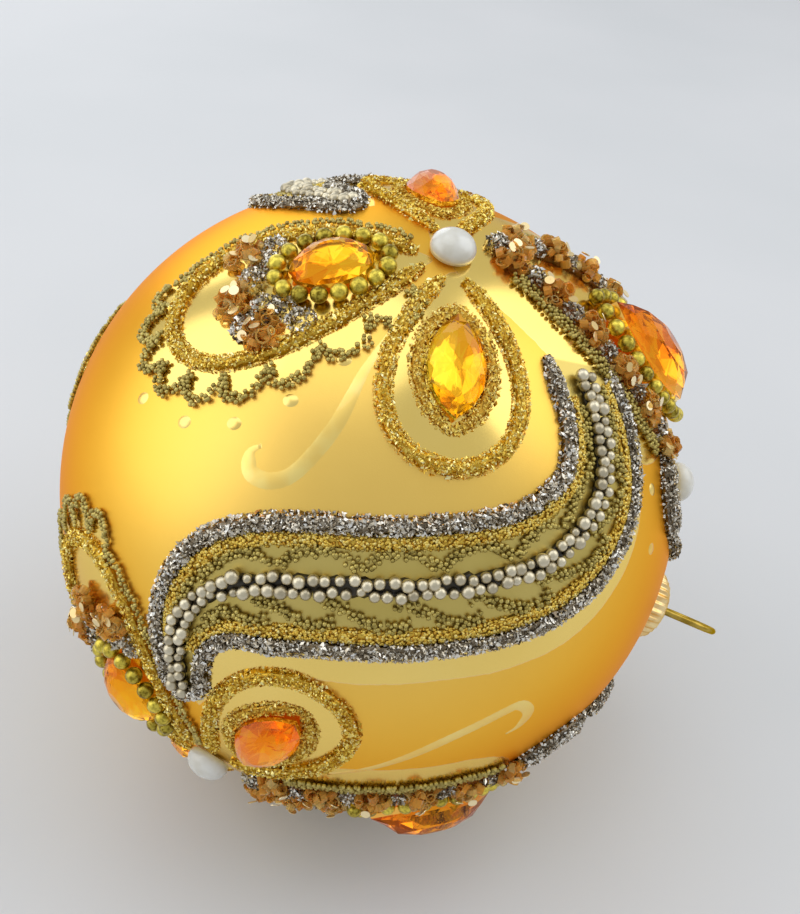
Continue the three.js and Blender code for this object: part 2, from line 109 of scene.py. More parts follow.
class Spot:
    """A flat map about one spot of the ball, turned and moved if asked."""

    def __init__(self, colatitude, longitude, turn=0.0, start=(0.0, 0.0)):
        down, around = math.radians(colatitude), math.radians(longitude)
        out = np.array([math.sin(down) * math.cos(around), math.sin(down) * math.sin(around), math.cos(down)])
        east = np.array([-math.sin(around), math.cos(around), 0.0])
        self.axes = BALL_TURN @ np.stack([east, np.cross(out, east), out], axis=1)
        self.lean = np.eye(2)
        self.start = np.zeros(2)
        self.lean, self.start = self.moved(turn, start)

    def moved(self, turn, start):
        along = direction(turn)
        lean = np.array([[along[0], -along[1]], [along[1], along[0]]])
        return self.lean @ lean, self.start + self.lean @ np.asarray(start, float)

    def along(self, turn, start=(0.0, 0.0)):
        """The same map with x along a petal's axis, which begins at start."""
        petal = Spot.__new__(Spot)
        petal.axes = self.axes
        petal.lean, petal.start = self.moved(turn, start)
        return petal

    def place(self, flat, height=0.0):
        flat = np.asarray(flat, float) @ self.lean.T + self.start
        far = np.maximum(np.hypot(flat[..., 0], flat[..., 1]), TINY)
        sideways = (np.sin(far / BALL_RADIUS) / far)[..., None]
        local = np.concatenate([flat * sideways, np.cos(far / BALL_RADIUS)[..., None]], axis=-1)
        reach = BALL_RADIUS + np.broadcast_to(height, far.shape)
        return BALL_CENTRE + (local @ self.axes.T) * reach[..., None]

    def flat(self, places):
        local = (places - BALL_CENTRE) @ self.axes
        local /= np.linalg.norm(local, axis=1, keepdims=True)
        far = BALL_RADIUS * np.arccos(np.clip(local[:, 2], -1, 1))
        across = np.maximum(np.hypot(local[:, 0], local[:, 1]), TINY)
        return (local[:, :2] * (far / across)[:, None] - self.start) @ self.lean

    def frame(self, x, y, lift):
        """A flat frame that touches the ball at one place: (u, v, height) becomes a place."""
        origin = self.place(np.array([x, y]), lift)
        out = (origin - BALL_CENTRE) / np.linalg.norm(origin - BALL_CENTRE)
        ahead = self.place(np.array([x + 1.0, y]), lift) - origin
        ahead -= out * (ahead @ out)
        ahead /= np.linalg.norm(ahead)
        axes = np.stack([ahead, np.cross(out, ahead), out])
        return lambda uvh: origin + np.asarray(uvh, float) @ axes


def outwards(places):
    """The ball's own normal under each place."""
    away = places - BALL_CENTRE
    return away / np.linalg.norm(away, axis=-1, keepdims=True)


print("cap points towards", np.round(BALL_TURN @ [0, 0, 1], 3))

# %% [markdown]
# ## Paths
# A decorator squeezes glue along a path and sprinkles glitter on it. The same few path shapes come
# back on every flower: a teardrop, an oval and a pointed oval. Free lines run through a few marked
# points. Each path is resampled to even steps, because what is sprinkled on it should be even too.

# %% Path shapes
TEARDROP_PEAK = 0.77
PATH_STEP = 0.5


def smooth_curve(points, fine=24):
    """A curve through the points, many steps between each two."""
    p = np.asarray(points, float)
    before = np.vstack([p[:1], p[:-2]])
    after = np.vstack([p[2:], p[-1:]])
    t = np.linspace(0, 1, fine, endpoint=False)[None, :, None]
    a, b = p[:-1, None], p[1:, None]
    slope_a, slope_b = (b - before[:, None]) / 2, (after[:, None] - a) / 2
    curve = (2 * a - 2 * b + slope_a + slope_b) * t**3
    curve += (3 * b - 3 * a - 2 * slope_a - slope_b) * t**2 + slope_a * t + a
    return np.vstack([curve.reshape(-1, p.shape[1]), p[-1:]])


def even_steps(path, step):
    """The path again in even steps of about this length, with its direction at each point."""
    spans = np.linalg.norm(np.diff(path, axis=0), axis=1)
    reached = np.concatenate([[0], np.cumsum(spans)])
    count = max(int(round(reached[-1] / step)), 2)
    wanted = np.linspace(0, reached[-1], count + 1)
    points = np.stack([np.interp(wanted, reached, path[:, k]) for k in range(path.shape[1])], axis=1)
    ahead = np.gradient(points, axis=0)
    ahead /= np.maximum(np.linalg.norm(ahead, axis=1, keepdims=True), TINY)
    return points, ahead


def path_length(path):
    return np.linalg.norm(np.diff(path, axis=0), axis=1).sum()


def to_left(ahead):
    return np.stack([-ahead[:, 1], ahead[:, 0]], axis=1)


def beside(path, distance):
    """The path moved to its left by a distance, which may change along it."""
    points, ahead = even_steps(path, PATH_STEP)
    share = np.linspace(0, 1, len(points))
    moved = np.interp(share, np.linspace(0, 1, np.size(distance)), np.ravel(distance))
    return points + to_left(ahead) * moved[:, None]


def swell(turns):
    """How far a teardrop of half width 1 is from its axis, all the way round."""
    return np.sin(turns) * np.sin(turns / 2) / TEARDROP_PEAK


def teardrop(length, half_width, turns):
    turns = np.radians(turns)
    return np.stack([length * (1 - np.cos(turns)) / 2, half_width * swell(turns)], axis=1)


def petal_turns(length, root, count=90):
    """The turns of a teardrop line that leaves its root open."""
    start = math.degrees(math.acos(1 - 2 * root / length))
    return np.linspace(start, 360 - start, count)


def oval(half_length, half_width, count):
    turn = np.linspace(0, 2 * math.pi, count, endpoint=False)
    return np.stack([half_length * np.cos(turn), half_width * np.sin(turn)], axis=1)


def pointed_oval(half_length, half_width, count, outset=0.0):
    """Two arcs that meet at sharp tips, grown outwards by outset."""
    radius = (half_length**2 + half_width**2) / (2 * half_width)
    depth = radius - half_width
    reach = math.acos(depth / (radius + outset))
    turn = np.linspace(reach, -reach, count // 2, endpoint=False)
    upper = np.stack([np.sin(turn), np.cos(turn)], axis=1) * (radius + outset) - [0, depth]
    return np.vstack([upper, -upper])


def closed(ring):
    """The ring's points with the first one once more at the end."""
    return np.vstack([ring, ring[:1]])


print("path shapes ready, in steps of", PATH_STEP, "mm")

# %% [markdown]
# ## Many small shapes in one piece
# Glitter and beads are thousands of separate things. Making each one an object would drown the
# scene, so they go into heaps: a heap copies one small shape to many places and becomes one mesh.
# Every copy keeps a tone, a random number that its material turns into a lighter or darker shade,
# and its own cell of a map, so that a baked picture can hold the shade of each chip.

# %% Small shapes
Shape = namedtuple("Shape", "points faces chart smooth")
PRISM_CHART = (0.8, 1.0, 0.2, 0.4)


def round_chart(points):
    """Spreads a bead's surface over a square cell, seen from its top."""
    climb = np.arccos(np.clip(points[:, 2] / np.linalg.norm(points, axis=1), -1, 1)) / math.pi
    turn = np.arctan2(points[:, 1], points[:, 0])
    return 0.5 + 0.5 * climb[:, None] * np.stack([np.cos(turn), np.sin(turn)], axis=1)


def bead_shape(fineness):
    mesh = bmesh.new()
    bmesh.ops.create_icosphere(mesh, subdivisions=fineness, radius=1.0)
    points = np.array([v.co for v in mesh.verts])
    faces = np.array([[v.index for v in f.verts] for f in mesh.faces])
    mesh.free()
    return Shape(points, faces, round_chart(points), True)


def prism_shape(sides, hole):
    """A short tube of length 2 and radius 1, or a plain disc where the hole is 0."""
    ring = oval(1, 1, sides)
    corners = [np.column_stack([ring * r, np.full(sides, z)])
               for r, z in ((1, 1), (1, -1), (hole, -1), (hole, 1))]
    j = np.arange(sides)
    k = (j + 1) % sides
    faces = []
    for a, b in ((0, 1), (1, 2), (2, 3), (3, 0)):
        faces.append(np.stack([a * sides + j, b * sides + j, b * sides + k], axis=1))
        faces.append(np.stack([a * sides + j, b * sides + k, a * sides + k], axis=1))
    points = np.vstack(corners)
    chart = np.vstack([0.5 + 0.5 * s * ring for s in PRISM_CHART])
    return Shape(points, np.vstack(faces), chart, False)


MICRO_BEAD = bead_shape(1)
BEAD = bead_shape(3)
CHIP = Shape(
    np.array([[-1, 0, 0], [1, 0, 0], [0.1, -0.55, 0.16], [-0.1, 0.55, 0.16]]),
    np.array([[0, 2, 1], [0, 1, 3], [0, 3, 2], [1, 2, 3]]),
    np.array([[0, 0.5], [1, 0.5], [0.5, 0], [0.5, 1]]), False)
GRAIN = Shape(
    np.array([[1, 0, 0], [0, 1, 0], [-1, 0, 0], [0, -1, 0], [0.1, 0.1, 0.7], [0, 0, -0.7]]),
    np.array([[0, 1, 4], [1, 2, 4], [2, 3, 4], [3, 0, 4], [1, 0, 5], [2, 1, 5], [3, 2, 5], [0, 3, 5]]),
    np.array([[1, 0.5], [0.5, 1], [0, 0.5], [0.5, 0], [0.5, 0.5], [0.45, 0.55]]), True)
BUGLE = prism_shape(9, 0.74)
SEQUIN = prism_shape(14, 0.02)
print("faces of a chip, a micro bead and a bead:", len(CHIP.faces), len(MICRO_BEAD.faces), len(BEAD.faces))

# %% Heaps
FLOOR_TOUCH = 0.01
CELL_MARGIN = 0.1


def random_ways(count):
    ways = dice.normal(size=(count, 3))
    return ways / np.linalg.norm(ways, axis=1, keepdims=True)


def tilted_axes(normals, spread):
    """Axes that stand on the normals, each tipped and spun at random."""
    up = normals + random_ways(len(normals)) * np.reshape(spread, (-1, 1))
    up /= np.linalg.norm(up, axis=1, keepdims=True)
    ahead = np.cross(up, random_ways(len(normals)))
    ahead /= np.linalg.norm(ahead, axis=1, keepdims=True)
    return np.stack([ahead, np.cross(up, ahead), up], axis=1)


class Heap:
    """Copies of small shapes, and skins, that become one mesh."""

    def __init__(self):
        self.points, self.faces, self.tones, self.charts, self.smooth = [], [], [], [], []
        self.count = self.cells = 0

    def add(self, points, faces, tone, chart, smooth):
        """Points is one array of places for each copy."""
        copies, each = points.shape[:2]
        first = self.count + np.arange(copies) * each
        self.points.append(points.reshape(-1, 3))
        self.faces.append((faces[None] + first[:, None, None]).reshape(-1, 3))
        self.tones.append(np.broadcast_to(np.reshape(tone, (-1, 1)), (copies, each)).ravel())
        cell = np.repeat(self.cells + np.arange(copies), each)
        self.charts.append(np.column_stack([cell, np.tile(chart, (copies, 1))]))
        self.smooth.append(np.full(copies * len(faces), smooth))
        self.count += copies * each
        self.cells += copies

    def scatter(self, shape, places, axes, size, tone):
        size = np.reshape(size, (-1, 1, np.shape(size)[-1] if np.ndim(size) == 2 else 1))
        points = np.einsum("nki,nij->nkj", shape.points[None] * size, axes) + places[:, None]
        self.add(points, shape.faces, tone, shape.chart, shape.smooth)

    def skin(self, rings, tone=0.5):
        """A closed skin through rings of places, with flat ends."""
        count, sides = rings.shape[:2]
        i = np.arange(count - 1)[:, None]
        j = np.arange(sides)[None]
        after = (j + 1) % sides
        a, b = i * sides + j, i * sides + after
        c, d = (i + 1) * sides + after, (i + 1) * sides + j
        k = np.arange(1, sides - 1)
        end = (count - 1) * sides
        faces = np.vstack([
            np.stack([a, b, c], -1).reshape(-1, 3), np.stack([a, c, d], -1).reshape(-1, 3),
            np.stack([0 * k, k + 1, k], axis=1), np.stack([0 * k + end, end + k, end + k + 1], axis=1)])
        along, around = np.meshgrid(np.linspace(0, 1, count), np.linspace(0, 1, sides), indexing="ij")
        chart = np.stack([along, around], axis=-1).reshape(-1, 2)
        points = rings.reshape(-1, 3)
        corners = points[faces]
        volume = np.einsum("ij,ij->i", corners[:, 0], np.cross(corners[:, 1], corners[:, 2])).sum()
        if volume < 0:
            faces = faces[:, ::-1]
        self.add(points[None], faces, tone, chart, True)

    def make(self, name, finish, slot, *replaced):
        points = np.vstack(self.points)
        points[:, 2] = np.maximum(points[:, 2], FLOOR_TOUCH)
        faces = np.vstack(self.faces)
        mesh = bpy.data.meshes.new(name)
        mesh.from_pydata((points * MM).tolist(), [], faces.tolist())
        mesh.polygons.foreach_set("use_smooth", np.concatenate(self.smooth))
        mesh.attributes.new("tone", "FLOAT", "POINT").data.foreach_set("value", np.concatenate(self.tones))
        self.lay_out_cells(mesh, faces)
        mesh.materials.append(finish)
        return dress(mesh, name, slot, *replaced)

    def lay_out_cells(self, mesh, faces):
        """Gives every copy a cell of its own in the map that a bake paints through."""
        chart = np.vstack(self.charts)
        side = math.ceil(math.sqrt(self.cells))
        inside = CELL_MARGIN + (1 - 2 * CELL_MARGIN) * chart[:, 1:]
        corner = np.stack([chart[:, 0] % side, chart[:, 0] // side], axis=1)
        places = ((corner + inside) / side)[faces.ravel()]
        mesh.uv_layers.new(name="OFBake").data.foreach_set("uv", places.ravel())


def dress(mesh, name, slot, *replaced):
    """Puts a finished mesh into the scene, on the ball, in place of its solids."""
    piece = bpy.data.objects.new(name, mesh)
    bpy.context.scene.collection.objects.link(piece)
    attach(piece, "root")
    if replaced:
        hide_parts(*replaced)
    print(f"{name}: {len(mesh.polygons)} faces")
    return piece


print("heaps ready")

# %% [markdown]
# ## Shader maths in plain Python
# A material is a tree of nodes. Written out link by link it is hard to read, so a small class wraps
# one output socket: adding or multiplying two of them adds a Math node. Any other node comes from
# its one method, which takes the node's type, its settings and what its sockets get.

# %% A socket that knows arithmetic
class Shade:
    """One output of a node tree. Arithmetic on it adds Math nodes."""

    def __init__(self, tree, socket):
        self.tree = tree
        self.socket = socket

    def node(self, kind, settings=None, inputs=None, output=0):
        made = self.tree.nodes.new(kind)
        for key, value in (settings or {}).items():
            if key == "stops":
                set_stops(made.color_ramp, value)
            else:
                setattr(made, key, value)
        for key, value in (inputs or {}).items():
            if isinstance(value, Shade):
                self.tree.links.new(value.socket, made.inputs[key])
            else:
                made.inputs[key].default_value = value
        return Shade(self.tree, made.outputs[output])

    def math(self, operation, first, second):
        return self.node("ShaderNodeMath", {"operation": operation}, {0: first, 1: second})

    def __add__(self, other):
        return self.math("ADD", self, other)

    def __radd__(self, other):
        return self.math("ADD", other, self)

    def __sub__(self, other):
        return self.math("SUBTRACT", self, other)

    def __rsub__(self, other):
        return self.math("SUBTRACT", other, self)

    def __mul__(self, other):
        return self.math("MULTIPLY", self, other)

    def __rmul__(self, other):
        return self.math("MULTIPLY", other, self)

    def within(self, low, high):
        """0 at low, 1 at high, and smooth between them."""
        settings = {"interpolation_type": "SMOOTHSTEP"}
        return self.node("ShaderNodeMapRange", settings, {"Value": self, "From Min": low, "From Max": high})

    def between(self, first, second):
        """A colour from first to second, as this value goes from 0 to 1."""
        return self.node("ShaderNodeMix", {"data_type": "RGBA"}, {0: self, 6: first, 7: second}, 2)

    def ramp(self, *stops):
        return self.node("ShaderNodeValToRGB", {"stops": stops}, {"Fac": self})


def set_stops(ramp, stops):
    while len(ramp.elements) < len(stops):
        ramp.elements.new(0.5)
    for element, (position, color) in zip(ramp.elements, stops):
        element.position = position
        element.color = color


def rgb(red, green, blue):
    """A colour as a picture program gives it, 0 to 255, as Blender's linear one."""
    def linear(value):
        share = value / 255
        return share / 12.92 if share <= 0.04045 else ((share + 0.055) / 1.055) ** 2.4
    return (linear(red), linear(green), linear(blue), 1.0)


def finish(name, **values):
    """A material with these fixed values, its shader node and a socket of its tree to start from."""
    material = bpy.data.materials.new(name)
    material.use_nodes = True
    tree = material.node_tree
    shader = tree.nodes["Principled BSDF"]
    for key, value in values.items():
        shader.inputs[key.replace("_", " ").title().replace("Ior", "IOR")].default_value = value
    return material, shader, Shade(tree, shader.outputs[0])


def feed(shader, name, value):
    value.tree.links.new(value.socket, shader.inputs[name])


def bumps(start, height, distance, strength=1.0):
    """A Bump node's normal from a height, in metres."""
    return start.node("ShaderNodeBump", {}, {"Height": height, "Distance": distance, "Strength": strength})


def spots(start, scale, detail=2.0, roughness=0.5):
    """Noise in the object's own metres, so many waves to a metre."""
    place = start.node("ShaderNodeTexCoord", {}, {}, "Object")
    return start.node("ShaderNodeTexNoise", {},
                      {"Vector": place, "Scale": scale, "Detail": detail, "Roughness": roughness})


def attribute(start, name):
    return start.node("ShaderNodeAttribute", {"attribute_name": name}, {}, "Fac")


def clouded(name, noise, colors, roughness, band=(0.3, 0.7), **values):
    """A finish that drifts from one colour to another, and from a roughness by a rub, with one noise."""
    material, shader, start = finish(name, **values)
    cloud = spots(start, *noise)
    least, rub = roughness
    feed(shader, "Base Color", cloud.within(*band).between(*colors))
    feed(shader, "Roughness", least + rub * cloud)
    return material


print("shader helpers ready")

# %% [markdown]
# ## The ball's skin
# The glass is one smooth ball with a short neck. Its lacquers differ: frosted gold all over, glossy
# champagne inside the petals and khaki inside the leaves. A thin tinted coat warms the frosted gold
# where it is seen at a slant. Cutting the lacquers out as faces would give jagged edges. Instead
# every point of the mesh stores how far it is from a lacquer's edge, in millimetres, and the
# material decides where the edge is, so that it stays crisp.

# %% Flowers and leaves, as the solids have them
FLOWERS = [
    {"longitude": 0, "colatitude": 102.8, "north": -6, "east_turn": 9, "west_turn": 10,
     "lean": 19, "root": 2, "drop": 2, "length": 37.5},
    {"longitude": 114, "colatitude": 102.8, "north": 111, "east_turn": -4, "west_turn": -6,
     "lean": -13, "root": -0.5, "drop": 2, "length": 37.5},
    {"longitude": 240, "colatitude": 110, "north": 237, "east_turn": -15, "west_turn": -24,
     "lean": -2, "root": 0, "drop": 8.5, "length": 47},
]
SIDE_START, SIDE_LENGTH, SIDE_HALF_WIDTH, SIDE_ROOT = 3.4, 29.1, 9.5, 1.8
SOUTH_HALF_WIDTH, SOUTH_ROOT, SOUTH_STONE_SHARE = 10.8, 2.2, 0.376
SCALLOPS, SCALLOP_FROM, SCALLOP_TO = 9, 50, 222
SCALLOP_NEAR, SCALLOP_RISE = 2.1, 3.7
WEST_EDGE_TO, WEST_EDGE_WAVES, WEST_EDGE_RISE = 318, 5, 0.8
WAVE_STEPS, WAVE_ROUNDNESS = 12, 0.6
NORTH_COLATITUDE = 66
NORTH_OUTLINE = [
    (0, -25.5), (4.5, -19), (8.2, -10), (11, 2), (11.8, 11),
    (16.3, 17), (17.5, 22.5), (15.5, 29), (11, 36), (8.6, 39),
]
LEAVES = [(98, 57, 0), (98, 180, 0), (111, 305, 9)]
LEAF_SPINE = [
    (-38, 17), (-30, 22.8), (-21, 25), (-11, 19.5), (-3, 6.5),
    (4.5, -10.5), (10.5, -18.3), (19, -20.6), (28.5, -17.6),
]
LEAF_HALF_WIDTH, LEAF_BLUNT_HALF_WIDTH, LEAF_TIP_HALF_WIDTH = 8.3, 5.8, 2.9
LEAF_LEAN, LEAF_TIP_REACH, LEAF_SWELL_END, LEAF_TAPER_START, LEAF_LEAD = 0.5, 2.2, 0.3, 0.7, 4.0


def side_petal(turns):
    """An east or west petal, which starts beside the pearl."""
    return teardrop(SIDE_LENGTH, SIDE_HALF_WIDTH, turns) + [SIDE_START, 0]


def ease(t, low, high):
    t = np.clip((t - low) / (high - low), 0, 1)
    return t * t * (3 - 2 * t)


def leaf_half_width(t):
    full = LEAF_BLUNT_HALF_WIDTH + (LEAF_HALF_WIDTH - LEAF_BLUNT_HALF_WIDTH) * ease(t, 0, LEAF_SWELL_END)
    return full - (LEAF_HALF_WIDTH - LEAF_TIP_HALF_WIDTH) * ease(t, LEAF_TAPER_START, 1)


def leaf_spine():
    return even_steps(smooth_curve(LEAF_SPINE), PATH_STEP)[0]


def leaf_offset(side, inset=0.0):
    """A line beside the leaf's spine: its outline on one side, or that moved in towards the spine."""
    spine = leaf_spine()
    t = np.linspace(0, 1, len(spine))
    return beside(spine, side * (leaf_half_width(t) - inset) + LEAF_LEAN)


def leaf_outline():
    spine, ahead = even_steps(smooth_curve(LEAF_SPINE), PATH_STEP)
    tip = spine[-1] + ahead[-1] * LEAF_TIP_REACH
    lower = leaf_offset(-1)
    back = lower[0] - lower[4]
    lead = lower[0] + back / np.linalg.norm(back) * LEAF_LEAD
    return np.vstack([lead, lower, tip, leaf_offset(1)[::-1]])


def south_edging(length, first, last, waves, rise):
    """A wavy line that follows the outside of a south petal between two of its turns."""
    steps = np.linspace(0, waves, waves * WAVE_STEPS + 1)
    turns = first + (last - first) * steps / waves
    around = np.radians(turns)
    away = np.stack([-np.cos(around), swell(around)], axis=1)
    away /= np.linalg.norm(away, axis=1, keepdims=True)
    lobes = (1 - (2 * (steps % 1) - 1) ** 2) ** WAVE_ROUNDNESS
    return teardrop(length, SOUTH_HALF_WIDTH, turns) + away * (SCALLOP_NEAR + rise * lobes)[:, None]


def scallops(length):
    return south_edging(length, SCALLOP_FROM, SCALLOP_TO, SCALLOPS, SCALLOP_RISE)


def west_edging(length):
    return south_edging(length, SCALLOP_TO, WEST_EDGE_TO, WEST_EDGE_WAVES, WEST_EDGE_RISE)


def north_path():
    """The north petal's line from its east end round the root to its west end."""
    east = NORTH_OUTLINE[::-1]
    west = [(-x, y) for x, y in NORTH_OUTLINE[1:]]
    return even_steps(smooth_curve(east + west), PATH_STEP)[0]


Flower = namedtuple("Flower", "name longitude length middle east west south north")


def flower_maps(name, plan):
    """A flower's maps: about its pearl, along three of its petals, and about its north petal."""
    middle = Spot(plan["colatitude"], plan["longitude"])
    south = middle.along(plan["lean"] - 90, (plan["root"], -plan["drop"]))
    return Flower(name, plan["longitude"], plan["length"], middle, middle.along(plan["east_turn"]),
                  middle.along(plan["west_turn"] + 180), south, Spot(NORTH_COLATITUDE, plan["north"]))


flowers = [flower_maps(f"flower_{k + 1}", plan) for k, plan in enumerate(FLOWERS)]
leaves = [(f"leaf_{k + 1}", Spot(*plan)) for k, plan in enumerate(LEAVES)]
print("leaf spine", round(path_length(leaf_spine())), "mm")
print("north line", round(path_length(north_path())), "mm")

# %% How far each point of the glass is from a lacquer's edge
FAR_OFF, FAR_SIDE = 99.0, -0.2
EDGE_SIDES, NORTH_EDGE_STEP, LEAF_EDGE_STEP, SPINE_EDGE_STEP = 60, 3.0, 2.5, 4.0
LEAF_CRESCENT = [
    (-34.5, 28), (-30.5, 33), (-19.5, 36.8), (-9.4, 35), (-1.2, 29.8), (4.9, 21.6), (8.9, 13.5), (12.9, 5.4),
    (16.2, -3.3), (21.5, -10.1), (27.2, -12.5), (31.2, -14),
]
NORTH_STRIP, NORTH_STRIP_END, NORTH_RIM = 10.0, 4.0, 1.5


def edge_distance(points, outline):
    """Millimetres from each point to a closed outline, negative inside it."""
    a, b = outline, np.roll(outline, -1, axis=0)
    span = b - a
    reach = points[:, None] - a[None]
    t = np.clip((reach * span).sum(-1) / np.maximum((span**2).sum(-1), TINY), 0, 1)
    distance = np.linalg.norm(reach - t[..., None] * span, axis=-1).min(axis=1)
    x, y = points[:, :1], points[:, 1:]
    rises = (a[:, 1] > y) != (b[:, 1] > y)
    slope = np.where(np.abs(span[:, 1]) < TINY, TINY, span[:, 1])
    crossed = rises & (x < span[:, 0] * (y - a[:, 1]) / slope + a[:, 0])
    return np.where(crossed.sum(axis=1) % 2 == 1, -distance, distance)


def lower_to(field, places, spot, outline, grow=0.0):
    """Joins one outline to a field of distances."""
    near = outwards(places) @ spot.axes[:, 2] > FAR_SIDE
    flat = spot.flat(places[near])
    field[near] = np.minimum(field[near], edge_distance(flat, outline) - grow)


def lacquer_fields(places):
    """The distances to the edge of the petals' champagne and of the leaves' khaki."""
    champagne = np.full(len(places), FAR_OFF)
    khaki = np.full(len(places), FAR_OFF)
    turns = np.linspace(0, 360, EDGE_SIDES, endpoint=False)
    side = side_petal(turns)
    north = even_steps(north_path(), NORTH_EDGE_STEP)[0]
    for flower in flowers:
        lower_to(champagne, places, flower.east, side)
        lower_to(champagne, places, flower.west, side)
        lower_to(champagne, places, flower.south, teardrop(flower.length, SOUTH_HALF_WIDTH, turns))
        edging = np.vstack([scallops(flower.length)[::2], [[flower.length / 2, 0]]])
        lower_to(champagne, places, flower.south, edging)
        lower_to(champagne, places, flower.north, north, NORTH_RIM)
        lower_to(champagne, places, flower.north, north[north[:, 1] < NORTH_STRIP_END], NORTH_STRIP)
    outline = even_steps(leaf_outline(), LEAF_EDGE_STEP)[0]
    inner = even_steps(leaf_spine(), SPINE_EDGE_STEP)[0]
    crescent = np.vstack([even_steps(smooth_curve(LEAF_CRESCENT), NORTH_EDGE_STEP)[0], inner[::-1]])
    for _, spot in leaves:
        lower_to(khaki, places, spot, outline)
        lower_to(champagne, places, spot, crescent)
    return champagne, khaki


print("lacquer edges from", len(flowers), "flowers and", len(leaves), "leaves")

# %% The glass
SKIN_SEGMENTS, SKIN_RINGS = 340, 166
NECK_RADIUS, NECK_TOP, NECK_HOLE = 5.0, 56.4, 0.5
POLE_GAP = 0.004


def ball_skin():
    shoulder = math.asin(NECK_RADIUS / BALL_RADIUS)
    turn = np.linspace(math.pi - POLE_GAP, shoulder, SKIN_RINGS)
    profile = np.stack([BALL_RADIUS * np.sin(turn), BALL_RADIUS * np.cos(turn)], axis=1)
    profile = np.vstack([profile, [[NECK_RADIUS, NECK_TOP], [NECK_HOLE, NECK_TOP]]])
    ring = oval(1, 1, SKIN_SEGMENTS)
    rings = np.stack([np.column_stack([ring * r, np.full(SKIN_SEGMENTS, z)]) for r, z in profile])
    return from_ball(rings)


def satin_gold():
    material, shader, start = finish("satin_gold_lacquer", metallic=1.0, specular_tint=rgb(255, 236, 200),
                                     coat_ior=1.06, coat_roughness=0.4, coat_tint=rgb(255, 223, 130))
    petal_edge = attribute(start, "petal_edge")
    leaf_edge = attribute(start, "leaf_edge")
    wander = spots(start, 700, 3.0)
    glossy = (petal_edge + (wander - 0.5) * 0.5).within(0.12, -0.12)
    khaki = leaf_edge.within(0.3, -0.3)
    cloud = spots(start, 45, 4.0, 0.6)
    gold = cloud.within(0.3, 0.75).between(rgb(252, 241, 218), rgb(255, 246, 226))
    champagne = cloud.within(0.25, 0.8).between(rgb(252, 217, 118), rgb(254, 223, 130))
    olive = cloud.within(0.3, 0.7).between(rgb(216, 194, 114), rgb(204, 182, 100))
    feed(shader, "Base Color", khaki.between(glossy.between(gold, champagne), olive))
    feed(shader, "Coat Weight", (1 - glossy) * (1 - khaki))
    lustre = 0.36 + 0.06 * cloud
    smear = spots(start, 160, 2.0)
    shiny = 0.13 + 0.1 * smear
    wet = 0.3 + 0.12 * smear
    either = lustre + glossy * (shiny - lustre)
    feed(shader, "Roughness", either + khaki * (wet - either))
    frost = spots(start, 5200, 2.0, 0.7)
    feed(shader, "Normal", bumps(start, frost * (1 - glossy), 0.00003, 0.35))
    return material


skin = Heap()
skin.skin(ball_skin())
glass = skin.make("glass_skin", satin_gold(), "satin_gold_glass", "glass_ball")
glass_places = np.vstack(skin.points)
petal_field, leaf_field = lacquer_fields(glass_places)
for name, field in (("petal_edge", petal_field), ("leaf_edge", leaf_field)):
    glass.data.attributes.new(name, "FLOAT", "POINT").data.foreach_set("value", field)
print("share of glossy lacquer:", round(float((petal_field < 0).mean()), 2))

# %% [markdown]
# ## Glitter
# A glitter line is a bead of glue that holds cut foil. The glue is a low rounded ridge, dark in the
# gaps, and the foil is chips about half a millimetre long that stand every way. A bump map can't
# sparkle like that, because each chip has to catch its own light, so the chips are real.

# %% Glitter lines
RIDGE_STEP, RIDGE_SIDES, RIDGE_WOBBLE = 0.7, 7, 0.12
TAPER_LENGTH, TAPERED_END = 3.0, 0.45
SPRINKLE_STEP = 0.4
GLUE_LIFT, CHIP_LIFT, GRAIN_LIFT = 0.05, 0.12, 0.1
LEAN_STEP, SIDE_LEAN = 0.3, 0.5
CHIP_GLUE_WIDTH, CHIP_GLUE_HEIGHT, CHIP_GLUE_TONE = 0.86, 0.75, 0.1
CHIP_RISE, CHIP_LENGTHS, CHIP_WIDTHS = (0.82, 1.12), 0.3, (0.5, 1.2)
SAND_GLUE_WIDTH, SAND_GLUE_HEIGHT, SAND_GLUE_TONE = 0.95, 0.6, 0.3
SAND_DENSITY, SAND_GRAIN, SAND_SIZES, SAND_TILT, SAND_SPILL = 11.0, 0.33, (0.75, 1.2), 0.6, 1.1
DARKEST = 0.05
Line = namedtuple("Line", "half_width height density chip")


def rounded(across):
    """The height of a bead of glue, from 1 in the middle to 0 at its sides."""
    return np.maximum(1 - np.abs(across) ** 2.4, 0) ** 0.7


def along_path(path, width_share, count):
    """Random places along a path: where they are, how far across (-1 to 1) and which way is left."""
    points, ahead = even_steps(path, SPRINKLE_STEP)
    where = dice.uniform(0, len(points) - 1.001, count)
    i = where.astype(int)
    t = (where - i)[:, None]
    middle = points[i] * (1 - t) + points[i + 1] * t
    across = dice.uniform(-1, 1, count) * width_share
    return middle, across, to_left(ahead)[i], where / (len(points) - 1)


def end_taper(share, length):
    """1 along most of a line, less in the last few millimetres before its ends."""
    to_end = np.minimum(share, 1 - share) * length
    return np.clip(TAPERED_END + (1 - TAPERED_END) * to_end / TAPER_LENGTH, 0, 1)


def glue_ridge(heap, spot, path, half_width, height, tone):
    points, ahead = even_steps(path, RIDGE_STEP)
    left = to_left(ahead)
    across = np.linspace(-1, 1, RIDGE_SIDES)
    wobble = 1 + RIDGE_WOBBLE * dice.normal(size=(len(points), 1))
    wobble *= end_taper(np.linspace(0, 1, len(points)), path_length(path))[:, None]
    flat = points[:, None] + left[:, None] * (across[None, :, None] * half_width * wobble[:, :, None])
    lift = GLUE_LIFT + height * rounded(across)[None] * wobble
    heap.skin(spot.place(flat, lift), tone)


